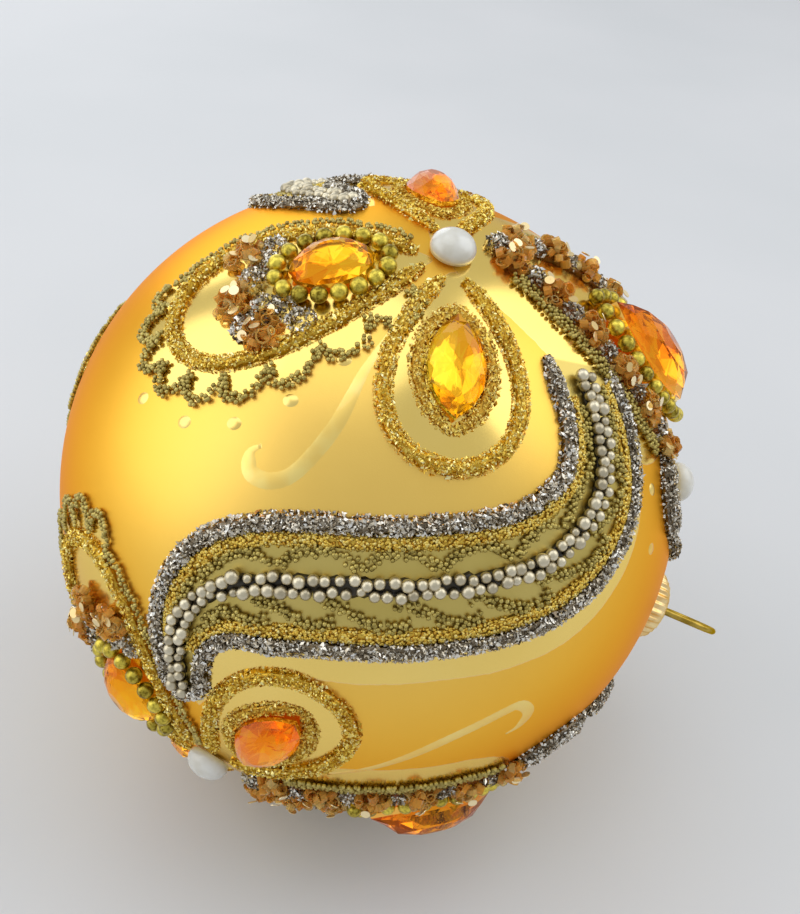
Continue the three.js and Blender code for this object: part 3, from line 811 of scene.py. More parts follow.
def glitter_line(heap, spot, path, line, spread=0.9, ragged=1.12):
    """Glue along a path, with chips of about the line's chip length stuck all over it."""
    glue_width, glue_height = line.half_width * CHIP_GLUE_WIDTH, line.height * CHIP_GLUE_HEIGHT
    glue_ridge(heap, spot, path, glue_width, glue_height, CHIP_GLUE_TONE)
    count = int(path_length(path) * 2 * line.half_width * line.density)
    middle, across, left, share = along_path(path, ragged, count)
    taper = end_taper(share, path_length(path))
    flat = middle + left * (across * line.half_width * taper)[:, None]
    lift = line.height * taper * rounded(across) * dice.uniform(*CHIP_RISE, count) + CHIP_LIFT
    places = spot.place(flat, lift)
    side = (spot.place(flat + left * LEAN_STEP, lift) - places) / LEAN_STEP
    lean = outwards(places) + side * (across * SIDE_LEAN)[:, None]
    axes = tilted_axes(lean, spread)
    length = line.chip * np.exp(CHIP_LENGTHS * dice.normal(size=count))
    size = np.column_stack([length, length * dice.uniform(*CHIP_WIDTHS, count), length])
    heap.scatter(CHIP, places, axes, size, dice.uniform(DARKEST, 1, count))


def sand_line(heap, spot, path, half_width, height):
    """A thinner line of glue with one layer of rounded grains."""
    glue_ridge(heap, spot, path, half_width * SAND_GLUE_WIDTH, height * SAND_GLUE_HEIGHT, SAND_GLUE_TONE)
    count = int(path_length(path) * 2 * half_width * SAND_DENSITY)
    middle, across, left, _ = along_path(path, SAND_SPILL, count)
    lift = height * rounded(across) + GRAIN_LIFT
    places = spot.place(middle + left * (across * half_width)[:, None], lift)
    size = SAND_GRAIN * dice.uniform(*SAND_SIZES, (count, 3))
    axes = tilted_axes(outwards(places), SAND_TILT)
    heap.scatter(GRAIN, places, axes, size, dice.uniform(DARKEST, 1, count))


def foil(name, stops, roughness, tint):
    """Cut foil: a shade for each chip's tone, and a sheen that differs from chip to chip."""
    material, shader, start = finish(name, metallic=1.0, specular_tint=tint)
    tone = attribute(start, "tone")
    grime = spots(start, 1500, 2.0)
    shade = tone.ramp(*stops)
    feed(shader, "Base Color", (0.35 * grime).between(shade, stops[1][1]))
    feed(shader, "Roughness", roughness + 0.25 * grime)
    return material


GOLD_FOIL = foil("gold_glitter_foil", [
    (0.0, rgb(140, 104, 28)), (0.12, rgb(208, 168, 60)), (0.4, rgb(250, 218, 100)),
    (0.75, rgb(255, 236, 138)), (1.0, rgb(255, 252, 196))], 0.2, rgb(255, 236, 170))
SAND_FOIL = foil("coarse_gold_sand", [
    (0.0, rgb(128, 70, 24)), (0.06, rgb(196, 148, 54)), (0.25, rgb(230, 196, 84)),
    (0.75, rgb(250, 226, 120)), (1.0, rgb(255, 244, 170))], 0.34, rgb(255, 236, 170))
SILVER_FOIL = foil("silver_glitter_foil", [
    (0.0, rgb(70, 58, 42)), (0.14, rgb(128, 116, 98)), (0.4, rgb(212, 202, 182)),
    (0.75, rgb(244, 238, 226)), (1.0, rgb(255, 255, 252))], 0.16, rgb(250, 246, 236))
print("three foils ready")

# %% Gold lines of the petals
GOLD_LINE = Line(half_width=1.22, height=1.05, density=20.0, chip=0.23)

side_line = side_petal(petal_turns(SIDE_LENGTH, SIDE_ROOT))
for flower in flowers:
    lines = Heap()
    south_line = teardrop(flower.length, SOUTH_HALF_WIDTH, petal_turns(flower.length, SOUTH_ROOT))
    for spot, path in ((flower.east, side_line), (flower.west, side_line), (flower.south, south_line)):
        glitter_line(lines, spot, path, GOLD_LINE)
    lines.make(f"{flower.name}_gold_lines", GOLD_FOIL, "gold_glitter",
               *[f"{flower.name}_{side}_petal_line" for side in ("east", "west", "south")])

# %% Silver and gold lines of the leaves
SILVER_LINE = Line(half_width=1.3, height=1.15, density=17.0, chip=0.29)
LEAF_GOLD_HALF_WIDTH, LEAF_GOLD_HEIGHT, LEAF_GOLD_INSET = 0.95, 0.5, 2.05
LEAF_GOLD_FROM, LEAF_GOLD_TO = 0.03, 0.93

for name, spot in leaves:
    silver = Heap()
    glitter_line(silver, spot, leaf_outline(), SILVER_LINE)
    silver.make(f"{name}_silver_line", SILVER_FOIL, "silver_glitter", f"{name}_line")
    gold = Heap()
    for side in (-1, 1):
        path = leaf_offset(side, LEAF_GOLD_INSET)
        path = path[int(len(path) * LEAF_GOLD_FROM):int(len(path) * LEAF_GOLD_TO)]
        sand_line(gold, spot, path, LEAF_GOLD_HALF_WIDTH, LEAF_GOLD_HEIGHT)
    gold.make(f"{name}_gold_line", SAND_FOIL, "gold_glitter")

# %% [markdown]
# ## Beads
# There are four sizes: micro beads like caviar on the scallops and in the leaves, satin grey beads
# in a double row on the leaf's spine, olive-gold beads round the stones, and half pearls. Each is
# its own little ball. The grey ones sit on a ridge of glue coloured near-black, a painted shade
# that shows between them.

# %% Bead finishes
def plated(name, dark, light, roughness, metallic=1.0, mottle=0.0):
    """Plated beads: each a little lighter or darker, with a rubbed and mottled coat."""
    material, shader, start = finish(name, metallic=metallic, coat_weight=0.15, coat_roughness=0.2)
    tone = attribute(start, "tone")
    rub = spots(start, 900, 3.0, 0.65)
    grain = spots(start, 2000, 2.0, 0.6).within(0.35, 0.6)
    feed(shader, "Base Color", (0.6 * tone + 0.5 * rub + mottle * (grain - 0.6) - 0.05).between(dark, light))
    feed(shader, "Roughness", roughness + 0.18 * rub)
    return material


GREY_BEADS = plated("satin_grey_beads", rgb(160, 148, 122), rgb(240, 230, 204), 0.28)
GOLD_BEADS = plated("olive_gold_beads", rgb(120, 100, 20), rgb(244, 222, 92), 0.3, 1.0, 0.45)
MICRO_BEADS = plated("olive_micro_beads", rgb(134, 116, 50), rgb(220, 200, 116), 0.28, 0.85)
# The bed is real glue, coloured near-black as painted shade between the grey beads.
GLUE_BED_PAINTED_SHADE = clouded("glue_bed_painted_shade", (500, 3.0), (rgb(20, 15, 8), rgb(58, 48, 26)), (0.25, 0.3))
print("bead finishes ready")

# %% Grey beads on the leaves
GREY_RADIUS, GREY_PITCH, GREY_OFFSET = 0.8, 1.64, 0.8
GREY_SWAY, GREY_JITTER, GREY_ROUNDNESS = 0.16, 0.1, 0.1
BEAD_LIFT, BEAD_SPIN = 0.15, 1.5
BED_HALF_WIDTH, BED_HEIGHT = 1.2, 0.4


def bead_string(heap, shape, spot, flat, radius, lift, roundness=0.06):
    """Beads at flat places, each of slightly different size."""
    count = len(flat)
    size = radius * (1 + roundness * dice.normal(size=count))
    places = spot.place(flat, lift + size)
    heap.scatter(shape, places, tilted_axes(outwards(places), BEAD_SPIN), size, dice.uniform(0, 1, count))


for name, spot in leaves:
    spine = leaf_spine()
    # A near-black glue ridge under the bead rows: painted shade between the beads.
    shade_bed = Heap()
    glue_ridge(shade_bed, spot, spine, BED_HALF_WIDTH, BED_HEIGHT, 0.0)
    shade_bed.make(f"{name}_bead_bed", GLUE_BED_PAINTED_SHADE, "grey_beads")
    beads = Heap()
    for side in (-1, 1):
        row, ahead = even_steps(spine, GREY_PITCH)
        row = row + ahead * (0.5 + 0.5 * side) * GREY_PITCH / 2
        row = row + to_left(ahead) * (side * GREY_OFFSET + GREY_SWAY * dice.normal(size=len(row)))[:, None]
        row = row + GREY_JITTER * dice.normal(size=row.shape)
        bead_string(beads, BEAD, spot, row, GREY_RADIUS, BEAD_LIFT, GREY_ROUNDNESS)
    beads.make(f"{name}_grey_beads", GREY_BEADS, "grey_beads", f"{name}_bead_row")

# %% Micro-bead squiggles in the leaves
MICRO_RADIUS, MICRO_JITTER, MICRO_CLOSENESS = 0.37, 0.14, 0.98
LANE_NEAR, LANE_FAR_INSET, LANE_STEP = 2.3, 3.3, 0.25
ARCH_LENGTH, ARCH_PITCH, STROKE_LENGTH, STROKE_PITCH = 9.6, 10.3, 10.5, 9.2
ARCH_FOOT, ARCH_RISE, ARCH_ROUNDNESS, HOOK_FROM, HOOK_DEPTH = 0.08, 0.9, 0.8, 0.8, 0.25
ARCH_START, STROKE_START, SQUIGGLE_END, SHORTEST_SQUIGGLE = 4.0, 3.0, 0.88, 5
SQUIGGLE_HALF_WIDTH, SQUIGGLE_ROWS, SQUIGGLE_KEPT, SQUIGGLE_LIFT = 0.5, 3, 0.9, 0.05


def lane(start, end, side, share):
    """A stretch of a leaf's lane; share 0 is beside the grey beads and 1 beside the gold line."""
    spine, ahead = even_steps(leaf_spine(), LANE_STEP)
    reached = np.arange(len(spine)) * LANE_STEP
    t = reached / reached[-1]
    width = np.maximum(leaf_half_width(t) - LANE_FAR_INSET - LANE_NEAR, 0)
    kept = (reached >= start) & (reached <= end)
    where = share(reached[kept])
    reach = side * (LANE_NEAR + width[kept] * where) + LEAF_LEAN * where
    return spine[kept] + to_left(ahead)[kept] * reach[:, None]


def arch_share(start):
    """An arch that stands on the grey beads and touches the gold line."""
    def share(reached):
        t = np.clip((reached - start) / ARCH_LENGTH, 0, 1)
        return ARCH_FOOT + ARCH_RISE * np.sin(math.pi * t) ** ARCH_ROUNDNESS
    return share


def stroke_share(start):
    """A slanting stroke with a hook at its end."""
    def share(reached):
        t = np.clip(1 - (reached - start) / STROKE_LENGTH, 0, 1)
        return ease(t, 0, HOOK_FROM) - HOOK_DEPTH * ease(t, HOOK_FROM, 1)
    return share


def leaf_squiggles():
    """One lane holds a chain of arches, the other a row of slanting strokes."""
    last = path_length(leaf_spine()) * SQUIGGLE_END
    stretches = []
    for start in np.arange(ARCH_START, last - SHORTEST_SQUIGGLE, ARCH_PITCH):
        stretches.append(lane(start, min(start + ARCH_LENGTH, last), -1, arch_share(start)))
    for start in np.arange(STROKE_START, last - SHORTEST_SQUIGGLE, STROKE_PITCH):
        stretches.append(lane(start, min(start + STROKE_LENGTH, last), 1, stroke_share(start)))
    return stretches


def micro_band(path, half_width, rows):
    """Micro beads strewn along a path, so close that they touch."""
    points, ahead = even_steps(path, 2 * MICRO_RADIUS * MICRO_CLOSENESS)
    across = np.linspace(-half_width, half_width, rows)
    flat = [points + to_left(ahead) * a + ahead * MICRO_RADIUS * (k % 2) for k, a in enumerate(across)]
    return np.vstack(flat) + MICRO_JITTER * dice.normal(size=(len(points) * rows, 2))


for name, spot in leaves:
    beads = Heap()
    for stretch in leaf_squiggles():
        flat = micro_band(stretch, SQUIGGLE_HALF_WIDTH, SQUIGGLE_ROWS)
        flat = flat[dice.uniform(0, 1, len(flat)) < SQUIGGLE_KEPT]
        bead_string(beads, MICRO_BEAD, spot, flat, MICRO_RADIUS, SQUIGGLE_LIFT)
    beads.make(f"{name}_micro_beads", MICRO_BEADS, "seed_beads")

# %% Micro beads on the scallops and beside the north petals
SCALLOP_BEAD_HALF_WIDTH, SCALLOP_ROWS, SCALLOP_KEPT = 0.52, 3, 0.84
WEST_BEAD_HALF_WIDTH, WEST_ROWS = 0.33, 2
NORTH_BAND_OFFSET, NORTH_BAND_HALF_WIDTH, NORTH_ROWS = 3.0, 1.1, 5
NORTH_BAND_LOW, NORTH_BAND_HIGH = -21.0, 10.0
MICRO_LIFT = 0.1

for flower in flowers:
    beads = Heap()
    edging = micro_band(scallops(flower.length), SCALLOP_BEAD_HALF_WIDTH, SCALLOP_ROWS)
    edging = edging[dice.uniform(0, 1, len(edging)) < SCALLOP_KEPT]
    bead_string(beads, MICRO_BEAD, flower.south, edging, MICRO_RADIUS, MICRO_LIFT)
    edging = micro_band(west_edging(flower.length), WEST_BEAD_HALF_WIDTH, WEST_ROWS)
    bead_string(beads, MICRO_BEAD, flower.south, edging, MICRO_RADIUS, MICRO_LIFT)
    line = north_path()
    for side in (-1, 1):
        part = line[(line[:, 0] * side > 0) & (line[:, 1] > NORTH_BAND_LOW) & (line[:, 1] < NORTH_BAND_HIGH)]
        band = micro_band(beside(part, NORTH_BAND_OFFSET), NORTH_BAND_HALF_WIDTH, NORTH_ROWS)
        bead_string(beads, MICRO_BEAD, flower.north, band, MICRO_RADIUS, MICRO_LIFT)
    beads.make(f"{flower.name}_micro_beads", MICRO_BEADS, "seed_beads", f"{flower.name}_south_scallops")

# %% Olive-gold beads round the stones
RING_BEAD_RADIUS, RING_BEAD_ROUNDNESS, RING_FINENESS = 1.21, 0.03, 400
SOUTH_RING, SOUTH_RING_BEADS = (7.6, 5.5), 16
NORTH_STONE = {"place": 3.5, "half": (10.5, 4.8), "height": 5.0, "lift": 0.75}
NORTH_RING_OUTSET, NORTH_RING_BEADS = 1.65, 22


def bead_ring(heap, spot, outline, count):
    """So many beads in even steps round an outline."""
    ring = closed(outline)
    ring = even_steps(ring, path_length(ring) / count)[0][:-1]
    bead_string(heap, BEAD, spot, ring, RING_BEAD_RADIUS, BEAD_LIFT, RING_BEAD_ROUNDNESS)


for flower in flowers:
    beads = Heap()
    south = flower.south.along(0, (SOUTH_STONE_SHARE * flower.length, 0))
    bead_ring(beads, south, oval(*SOUTH_RING, RING_FINENESS), SOUTH_RING_BEADS)
    north = flower.north.along(90, (0, NORTH_STONE["place"]))
    outline = pointed_oval(*NORTH_STONE["half"], RING_FINENESS, NORTH_RING_OUTSET)
    bead_ring(beads, north, outline, NORTH_RING_BEADS)
    beads.make(f"{flower.name}_gold_beads", GOLD_BEADS, "gold_beads",
               f"{flower.name}_south_bead_ring", f"{flower.name}_north_bead_ring")

# %% [markdown]
# ## Stones
# The amber stones are clear acrylic, faceted on top and backed with foil. The facets are flat faces
# that meet at sharp edges. Below them, a second surface stands for the foil: light goes in through
# the crown, is thrown back by the foil's own facets and comes out amber. A solid orange would look
# like plastic. A real stone also gathers light by many reflections, more than a renderer follows, so
# the foil is given a very faint painted glow. Each facet's colour also carries painted light: one side
# of a stone is painted lighter, and single facets are painted lighter or darker at random.

# %% Faceted stones
STONE_SIDES = 12
TURNED_REACH = 1.02
CROWN = [(1.0, 0.0), (1.0, 0.2), (0.87, 0.5), (0.62, 0.82), (0.32, 1.0)]
BACK = [(0.55, 0.07), (0.14, 0.03)]
CROWN_PAINTED_FLICKER, BACK_PAINTED_FLICKER = 0.06, 0.14
SIDE_STONE = {"place": 19.3, "half": (7.4, 4.0), "height": 3.4, "lift": 0.15}
SOUTH_STONE = {"half": (5.9, 3.95), "height": 3.6, "lift": 0.45}


class Stones:
    """The stones of one flower: clear amber crowns, walls and backs of foil, a painted light tone for each
    facet.
    """

    def __init__(self):
        self.points, self.faces, self.tones, self.backs = [], [], [], []
        self.count = 0

    def add_rings(self, frame_at, outline, levels, height, painted_light, back):
        """Rings of facets, each ring turned half a facet against the one below it."""
        sides = len(outline)
        turned = (outline + np.roll(outline, -1, axis=0)) / 2 * TURNED_REACH
        rings = []
        for k, (scale, level) in enumerate(levels):
            ring = outline if k < 2 or k % 2 else turned
            rings.append(np.column_stack([ring * scale, np.full(sides, level * height)]))
        j = np.arange(sides)
        after = (j + 1) % sides
        # The facet tones are painted light: lit sets the brightness, along and across paint one side of the
        # stone lighter, and the random flicker paints glints and shade from facet to facet.
        lit, along, across = painted_light
        kites = [(ring[:, :2] + ring[after, :2]) / 2 / np.abs(outline).max(axis=0) for ring in rings]
        painted_flicker = (BACK_PAINTED_FLICKER if back else CROWN_PAINTED_FLICKER) * dice.normal(size=(len(levels), sides))
        painted_kite_tones = lit + np.array(kites) @ [along, across] + painted_flicker
        faces, tones = [], []
        for k in range(len(levels) - 1):
            low, high = k * sides, (k + 1) * sides
            if k == 0 or k % 2:
                first = np.stack([low + j, low + after, high + j], axis=1)
                second = np.stack([low + after, high + after, high + j], axis=1)
            else:
                first = np.stack([low + j, low + after, high + after], axis=1)
                second = np.stack([low + j, high + after, high + j], axis=1)
            faces += [first, second]
            tones += [painted_kite_tones[k], painted_kite_tones[k + 1]]
        top = (len(levels) - 1) * sides
        fan = np.arange(1, sides - 1)
        faces.append(np.stack([0 * fan + top, top + fan, top + fan + 1], axis=1))
        tones.append(np.full(len(fan), lit))
        faces = np.vstack(faces)
        self.points.append(frame_at(np.vstack(rings)))
        self.faces.append((faces[:, ::-1] if back else faces) + self.count)
        self.tones.append(np.clip(np.concatenate(tones), 0, 1))
        self.backs.append(np.where(np.arange(len(faces)) < 2 * sides, 1, int(back)))
        self.count += len(rings) * sides

    def add(self, frame_at, outline, height, painted_light):
        self.add_rings(frame_at, outline, CROWN, height, painted_light, False)
        self.add_rings(frame_at, outline, [CROWN[1]] + BACK, height, painted_light, True)

    def make(self, name, *replaced):
        mesh = bpy.data.meshes.new(name)
        mesh.from_pydata((np.vstack(self.points) * MM).tolist(), [], np.vstack(self.faces).tolist())
        mesh.materials.append(AMBER)
        mesh.materials.append(STONE_FOIL)
        mesh.polygons.foreach_set("material_index", np.concatenate(self.backs))
        mesh.attributes.new("tone", "FLOAT", "FACE").data.foreach_set("value", np.concatenate(self.tones))
        return dress(mesh, name, "amber_stone", *replaced)


def amber_glass():
    material, shader, start = finish("amber_acrylic", roughness=0.01, ior=1.42, transmission_weight=1.0,
                                     specular_tint=rgb(255, 214, 140))
    tone = attribute(start, "tone")
    # The crown's colour follows each facet's tone, which is painted light and shade.
    feed(shader, "Base Color", tone.ramp((0.0, rgb(216, 100, 24)), (0.3, rgb(252, 158, 48)),
                                         (0.6, rgb(255, 196, 60)), (1.0, rgb(255, 222, 90))))
    scratch = spots(start, 800, 3.0)
    feed(shader, "Normal", bumps(start, scratch, 0.00002, 0.1))
    return material


def stone_foil():
    # The foil's faint emission is a painted glow, and its colour and glow follow each facet's painted light
    # tone.
    material, shader, start = finish("stone_back_foil_painted_glow", metallic=1.0, emission_strength=0.13)
    tone = attribute(start, "tone")
    cloud = spots(start, 260, 2.0)
    feed(shader, "Base Color", tone.ramp((0.0, rgb(232, 124, 44)), (0.4, rgb(255, 214, 110)),
                                         (1.0, rgb(255, 250, 170))))
    feed(shader, "Roughness", 0.06 + 0.06 * cloud)
    feed(shader, "Emission Color", tone.ramp((0.0, rgb(226, 80, 10)), (0.5, rgb(255, 156, 20)),
                                             (1.0, rgb(255, 220, 40))))
    return material


AMBER, STONE_FOIL = amber_glass(), stone_foil()
# Painted light for each kind of stone: its brightness, and how much lighter it is painted along and across
# the stone.
EAST_PAINTED_LIGHT, WEST_PAINTED_LIGHT = (0.72, 0, -0.38), (0.4, -0.1, -0.15)
SOUTH_PAINTED_LIGHT, NORTH_PAINTED_LIGHT = (0.62, -0.25, -0.1), (0.42, 0.15, 0)
marquise = pointed_oval(*SIDE_STONE["half"], STONE_SIDES)
long_marquise = pointed_oval(*NORTH_STONE["half"], STONE_SIDES)
for flower in flowers:
    stones = Stones()
    for spot, painted_light in ((flower.east, EAST_PAINTED_LIGHT), (flower.west, WEST_PAINTED_LIGHT)):
        frame_at = spot.frame(SIDE_STONE["place"], 0, SIDE_STONE["lift"])
        stones.add(frame_at, marquise, SIDE_STONE["height"], painted_light)
    frame_at = flower.south.frame(SOUTH_STONE_SHARE * flower.length, 0, SOUTH_STONE["lift"])
    stones.add(frame_at, oval(*SOUTH_STONE["half"], STONE_SIDES), SOUTH_STONE["height"], SOUTH_PAINTED_LIGHT)
    frame_at = flower.north.along(90).frame(NORTH_STONE["place"], 0, NORTH_STONE["lift"])
    stones.add(frame_at, long_marquise, NORTH_STONE["height"], NORTH_PAINTED_LIGHT)
    stones.make(f"{flower.name}_stones",
                *[f"{flower.name}_{side}_stone" for side in ("east", "west", "south", "north")])

# %% Sand round the side stones
STONE_SAND = GOLD_LINE._replace(half_width=1.0, height=0.6)
SAND_OUTSET, SAND_SPREAD, SAND_RAGGED, SAND_FINENESS = 1.1, 0.7, 1.35, 120

for flower in flowers:
    sand = Heap()
    for spot in (flower.east, flower.west):
        ring = pointed_oval(*SIDE_STONE["half"], SAND_FINENESS, SAND_OUTSET)
        ring = closed(ring) + [SIDE_STONE["place"], 0]
        glitter_line(sand, spot, ring, STONE_SAND, SAND_SPREAD, SAND_RAGGED)
    sand.make(f"{flower.name}_stone_sand", SAND_FOIL, "gold_glitter")

# %% Half pearls
PEARL_RADIUS, PEARL_HEIGHT, PEARL_GIRDLE, PEARL_LIFT = 3.25, 3.4, 0.9, 0.15
PEARL_SIDES = 40
PEARL_CLIMBS = [-18, *range(0, 81, 8), 86, 89.4]
NORTH_PEARL_PLACE = 30


def add_pearl(heap, frame_at):
    ring = oval(PEARL_RADIUS, PEARL_RADIUS, PEARL_SIDES)
    rings = []
    for climb in np.radians(PEARL_CLIMBS):
        level = PEARL_GIRDLE + (PEARL_HEIGHT - PEARL_GIRDLE) * math.sin(climb)
        rings.append(np.column_stack([ring * math.cos(climb), np.full(PEARL_SIDES, level)]))
    heap.skin(frame_at(np.stack(rings)))


PEARL = clouded("white_pearl", (380, 3.0), (rgb(210, 206, 194), rgb(228, 227, 222)), (0.16, 0.12),
                (0.25, 0.75), coat_weight=0.7, coat_roughness=0.06, subsurface_weight=0.15,
                subsurface_radius=(0.001, 0.001, 0.0008), subsurface_scale=0.6)
for flower in flowers:
    pearls = Heap()
    add_pearl(pearls, flower.middle.frame(0, 0, PEARL_LIFT))
    add_pearl(pearls, flower.north.frame(0, NORTH_PEARL_PLACE, PEARL_LIFT))
    pearls.make(f"{flower.name}_pearls", PEARL, "pearl", f"{flower.name}_pearl", f"{flower.name}_north_pearl")

# %% [markdown]
# ## Clumps
# Round the north petals and under the oval stones sit clumps of short amber tubes with a few pale
# sequins, and between them tufts of silver glitter. The tubes are see-through, so each is a real
# tube with a hole. They stand every way, as they fell into the glue.

# %% Clump finishes
def toned(name, stops, scale, roughness, **values):
    """A finish with a colour for each copy's tone, and a roughness that a noise adds a rub to."""
    material, shader, start = finish(name, **values)
    least, rub = roughness
    feed(shader, "Base Color", attribute(start, "tone").ramp(*stops))
    feed(shader, "Roughness", least + rub * spots(start, scale))
    return material


AMBER_TUBES = toned("amber_tube_beads", [
    (0.0, rgb(176, 108, 36)), (0.25, rgb(252, 188, 84)),
    (0.7, rgb(255, 206, 104)), (1.0, rgb(255, 232, 160))],
    900, (0.06, 0.1), ior=1.36, transmission_weight=0.66, specular_tint=rgb(255, 220, 160))
SEQUINS = toned("pale_gold_sequins", [(0.0, rgb(234, 202, 134)), (1.0, rgb(254, 236, 190))],
                700, (0.12, 0.2), metallic=0.6)
MOUND_FILL = (0.55, 1)
TUBE_RADIUS, TUBE_HALF_LENGTH, TUBE_LIFT, TUBE_TILT = 0.82, 0.5, 0.3, 1.0
TUBE_SIZES, TUBE_FLATNESS, DARKEST_TUBE = (0.7, 1.3), (0.6, 1), 0.15
SEQUIN_SIZE, SEQUIN_LIFT, SEQUIN_TILT = (0.7, 0.7, 0.05), 1.35, 0.6
TUFT_LIFT, TUFT_LENGTHS, TUFT_TILT, DARKEST_TUFT = 0.1, 0.35, 1.4, 0.02


def in_mound(count, radius, height):
    """Random places in a low mound: offsets from its middle and heights."""
    far = radius * np.sqrt(dice.uniform(0, 1, count))
    turn = dice.uniform(0, 2 * math.pi, count)
    lift = height * (1 - (far / radius) ** 2) ** 0.5 * dice.uniform(*MOUND_FILL, count)
    return np.stack([far * np.cos(turn), far * np.sin(turn)], axis=1), lift


def amber_mound(tubes, sequins, spot, middle, radius, height, count, discs):
    offset, lift = in_mound(count, radius, height)
    places = spot.place(middle + offset, lift + TUBE_LIFT)
    width = TUBE_RADIUS * dice.uniform(*TUBE_SIZES, count)
    size = np.column_stack([width, width * dice.uniform(*TUBE_FLATNESS, count),
                            TUBE_HALF_LENGTH * dice.uniform(*TUBE_SIZES, count)])
    axes = tilted_axes(outwards(places), TUBE_TILT)
    tubes.scatter(BUGLE, places, axes, size, dice.uniform(DARKEST_TUBE, 1, count))
    offset, lift = in_mound(discs, radius, height)
    places = spot.place(middle + offset, lift + SEQUIN_LIFT)
    size = np.tile(SEQUIN_SIZE, (discs, 1))
    axes = tilted_axes(outwards(places), SEQUIN_TILT)
    sequins.scatter(SEQUIN, places, axes, size, dice.uniform(0, 1, discs))


def silver_mound(chips, spot, middle, radius, height, count):
    offset, lift = in_mound(count, radius, height)
    places = spot.place(middle + offset, lift + TUFT_LIFT)
    length = SILVER_LINE.chip * np.exp(TUFT_LENGTHS * dice.normal(size=count))
    axes = tilted_axes(outwards(places), TUFT_TILT)
    chips.scatter(CHIP, places, axes, length, dice.uniform(DARKEST_TUFT, 1, count))


print("clump finishes ready")

# %% Clumps on the flowers
SOUTH_AMBER = [(10.3, 8.0), (13.5, 1.2), (10.7, -6.6)]
SOUTH_SILVER = [(5.5, 8.0), (7.9, 5.0), (10.1, 3.6), (10.5, -2.4), (12.9, 5.6), (6.9, -7.6), (8.5, -4.6)]
SOUTH_MOUND = {"radius": 2.9, "height": 2.2, "count": 26, "discs": 4}
SOUTH_TUFT = {"radius": 2.2, "height": 1.7, "count": 220}
NORTH_MOUND = {"radius": 2.5, "height": 2.2, "count": 20, "discs": 3}
NORTH_TUFT = {"radius": 1.9, "height": 1.9, "count": 190}
CLUMP_PITCH = 3.6
GLUE_HALF_WIDTH, GLUE_HEIGHT = 1.8, 0.8
SILVER_FROM, WIDE_TO, NARROW_FROM = 12.0, 25, 24.5
WIDE_SILVER = SILVER_LINE._replace(half_width=1.9, height=1.7)
NARROW_SILVER = SILVER_LINE._replace(half_width=1.2, height=1.3)

for flower in flowers:
    tubes, sequins, chips = Heap(), Heap(), Heap()
    stone_place = [SOUTH_STONE_SHARE * flower.length, 0]
    for middle in SOUTH_AMBER:
        amber_mound(tubes, sequins, flower.south, np.add(middle, stone_place), **SOUTH_MOUND)
    for middle in SOUTH_SILVER:
        silver_mound(chips, flower.south, np.add(middle, stone_place), **SOUTH_TUFT)
    line = north_path()
    for side in (-1, 1):
        part = line[line[:, 0] * side >= 0]
        part = part[np.argsort(part[:, 1])]
        low = part[part[:, 1] < SILVER_FROM]
        for k, middle in enumerate(even_steps(low, CLUMP_PITCH)[0]):
            if k % 2:
                amber_mound(tubes, sequins, flower.north, middle, **NORTH_MOUND)
            else:
                silver_mound(chips, flower.north, middle, **NORTH_TUFT)
        glue_ridge(tubes, flower.north, low, GLUE_HALF_WIDTH, GLUE_HEIGHT, 0.0)
        wide = part[(part[:, 1] >= SILVER_FROM) & (part[:, 1] < WIDE_TO)]
        glitter_line(chips, flower.north, wide, WIDE_SILVER)
        narrow = part[part[:, 1] >= NARROW_FROM]
        glitter_line(chips, flower.north, narrow, NARROW_SILVER)
    tubes.make(f"{flower.name}_amber_tubes", AMBER_TUBES, "amber_clumps", f"{flower.name}_south_crescent",
               f"{flower.name}_north_clump_line")
    sequins.make(f"{flower.name}_sequins", SEQUINS, "amber_clumps")
    chips.make(f"{flower.name}_silver_tufts", SILVER_FOIL, "silver_glitter")

# %% [markdown]
# ## Swirls and dots
# Two kinds of clear lacquer stand on the satin gold: long tapering swirls that end in a hook, and
# single drops. They show mostly by their gloss, so they take the gold of the ball with a wet finish.
# Their skins run on under the surface of the ball, so that no hard rim shows.

# %% Clear lacquer
SWIRL_1 = [(16, -6), (22, -8.5), (30, -11), (36, -15), (37.5, -18.5), (36.5, -21.5), (34, -22), (33, -20.5)]
SWIRL_2 = [(-16, 13), (-22, 18), (-30, 23.5), (-34, 27), (-37.5, 31), (-38, 33), (-36, 35.5), (-33, 35.5),
           (-31.5, 34)]
DROPS = [(21, -11.5), (27, -17.5), (30, -25), (29, -33), (23.5, -41.5), (12, -43.8), (2.5, -42)]
NORTH_DROPS = [(55, 22), (49.6, 32.6), (65.5, 24)]
SWIRLS = [(SWIRL_1, 1.1), (SWIRL_2, 0.95)]
SWIRL_HEIGHT, SWIRL_TAIL, SWIRL_SWELL_END, SWIRL_HOOK_FROM, SWIRL_HOOK_LOSS = 0.045, 0.35, 0.5, 0.9, 0.75
DROP_RADIUS, DROP_STRETCH, DROP_HEIGHT, DROP_SIDES = 0.85, 1.2, 0.2, 16
BURIED = 1.6
DROP_RINGS = (BURIED, 1.2, 0.9, 0.6, 0.3)


def swirl(heap, spot, marks, half_width):
    points, ahead = even_steps(smooth_curve(marks), PATH_STEP)
    t = np.linspace(0, 1, len(points))
    taper = SWIRL_TAIL + (1 - SWIRL_TAIL) * ease(t, 0, SWIRL_SWELL_END)
    taper = taper * (1 - SWIRL_HOOK_LOSS * ease(t, SWIRL_HOOK_FROM, 1))
    across = np.linspace(-BURIED, BURIED, RIDGE_SIDES)
    reach = across[None] * half_width * taper[:, None]
    flat = points[:, None] + to_left(ahead)[:, None] * reach[:, :, None]
    heap.skin(spot.place(flat, SWIRL_HEIGHT * (1 - across**2)[None] * taper[:, None]))


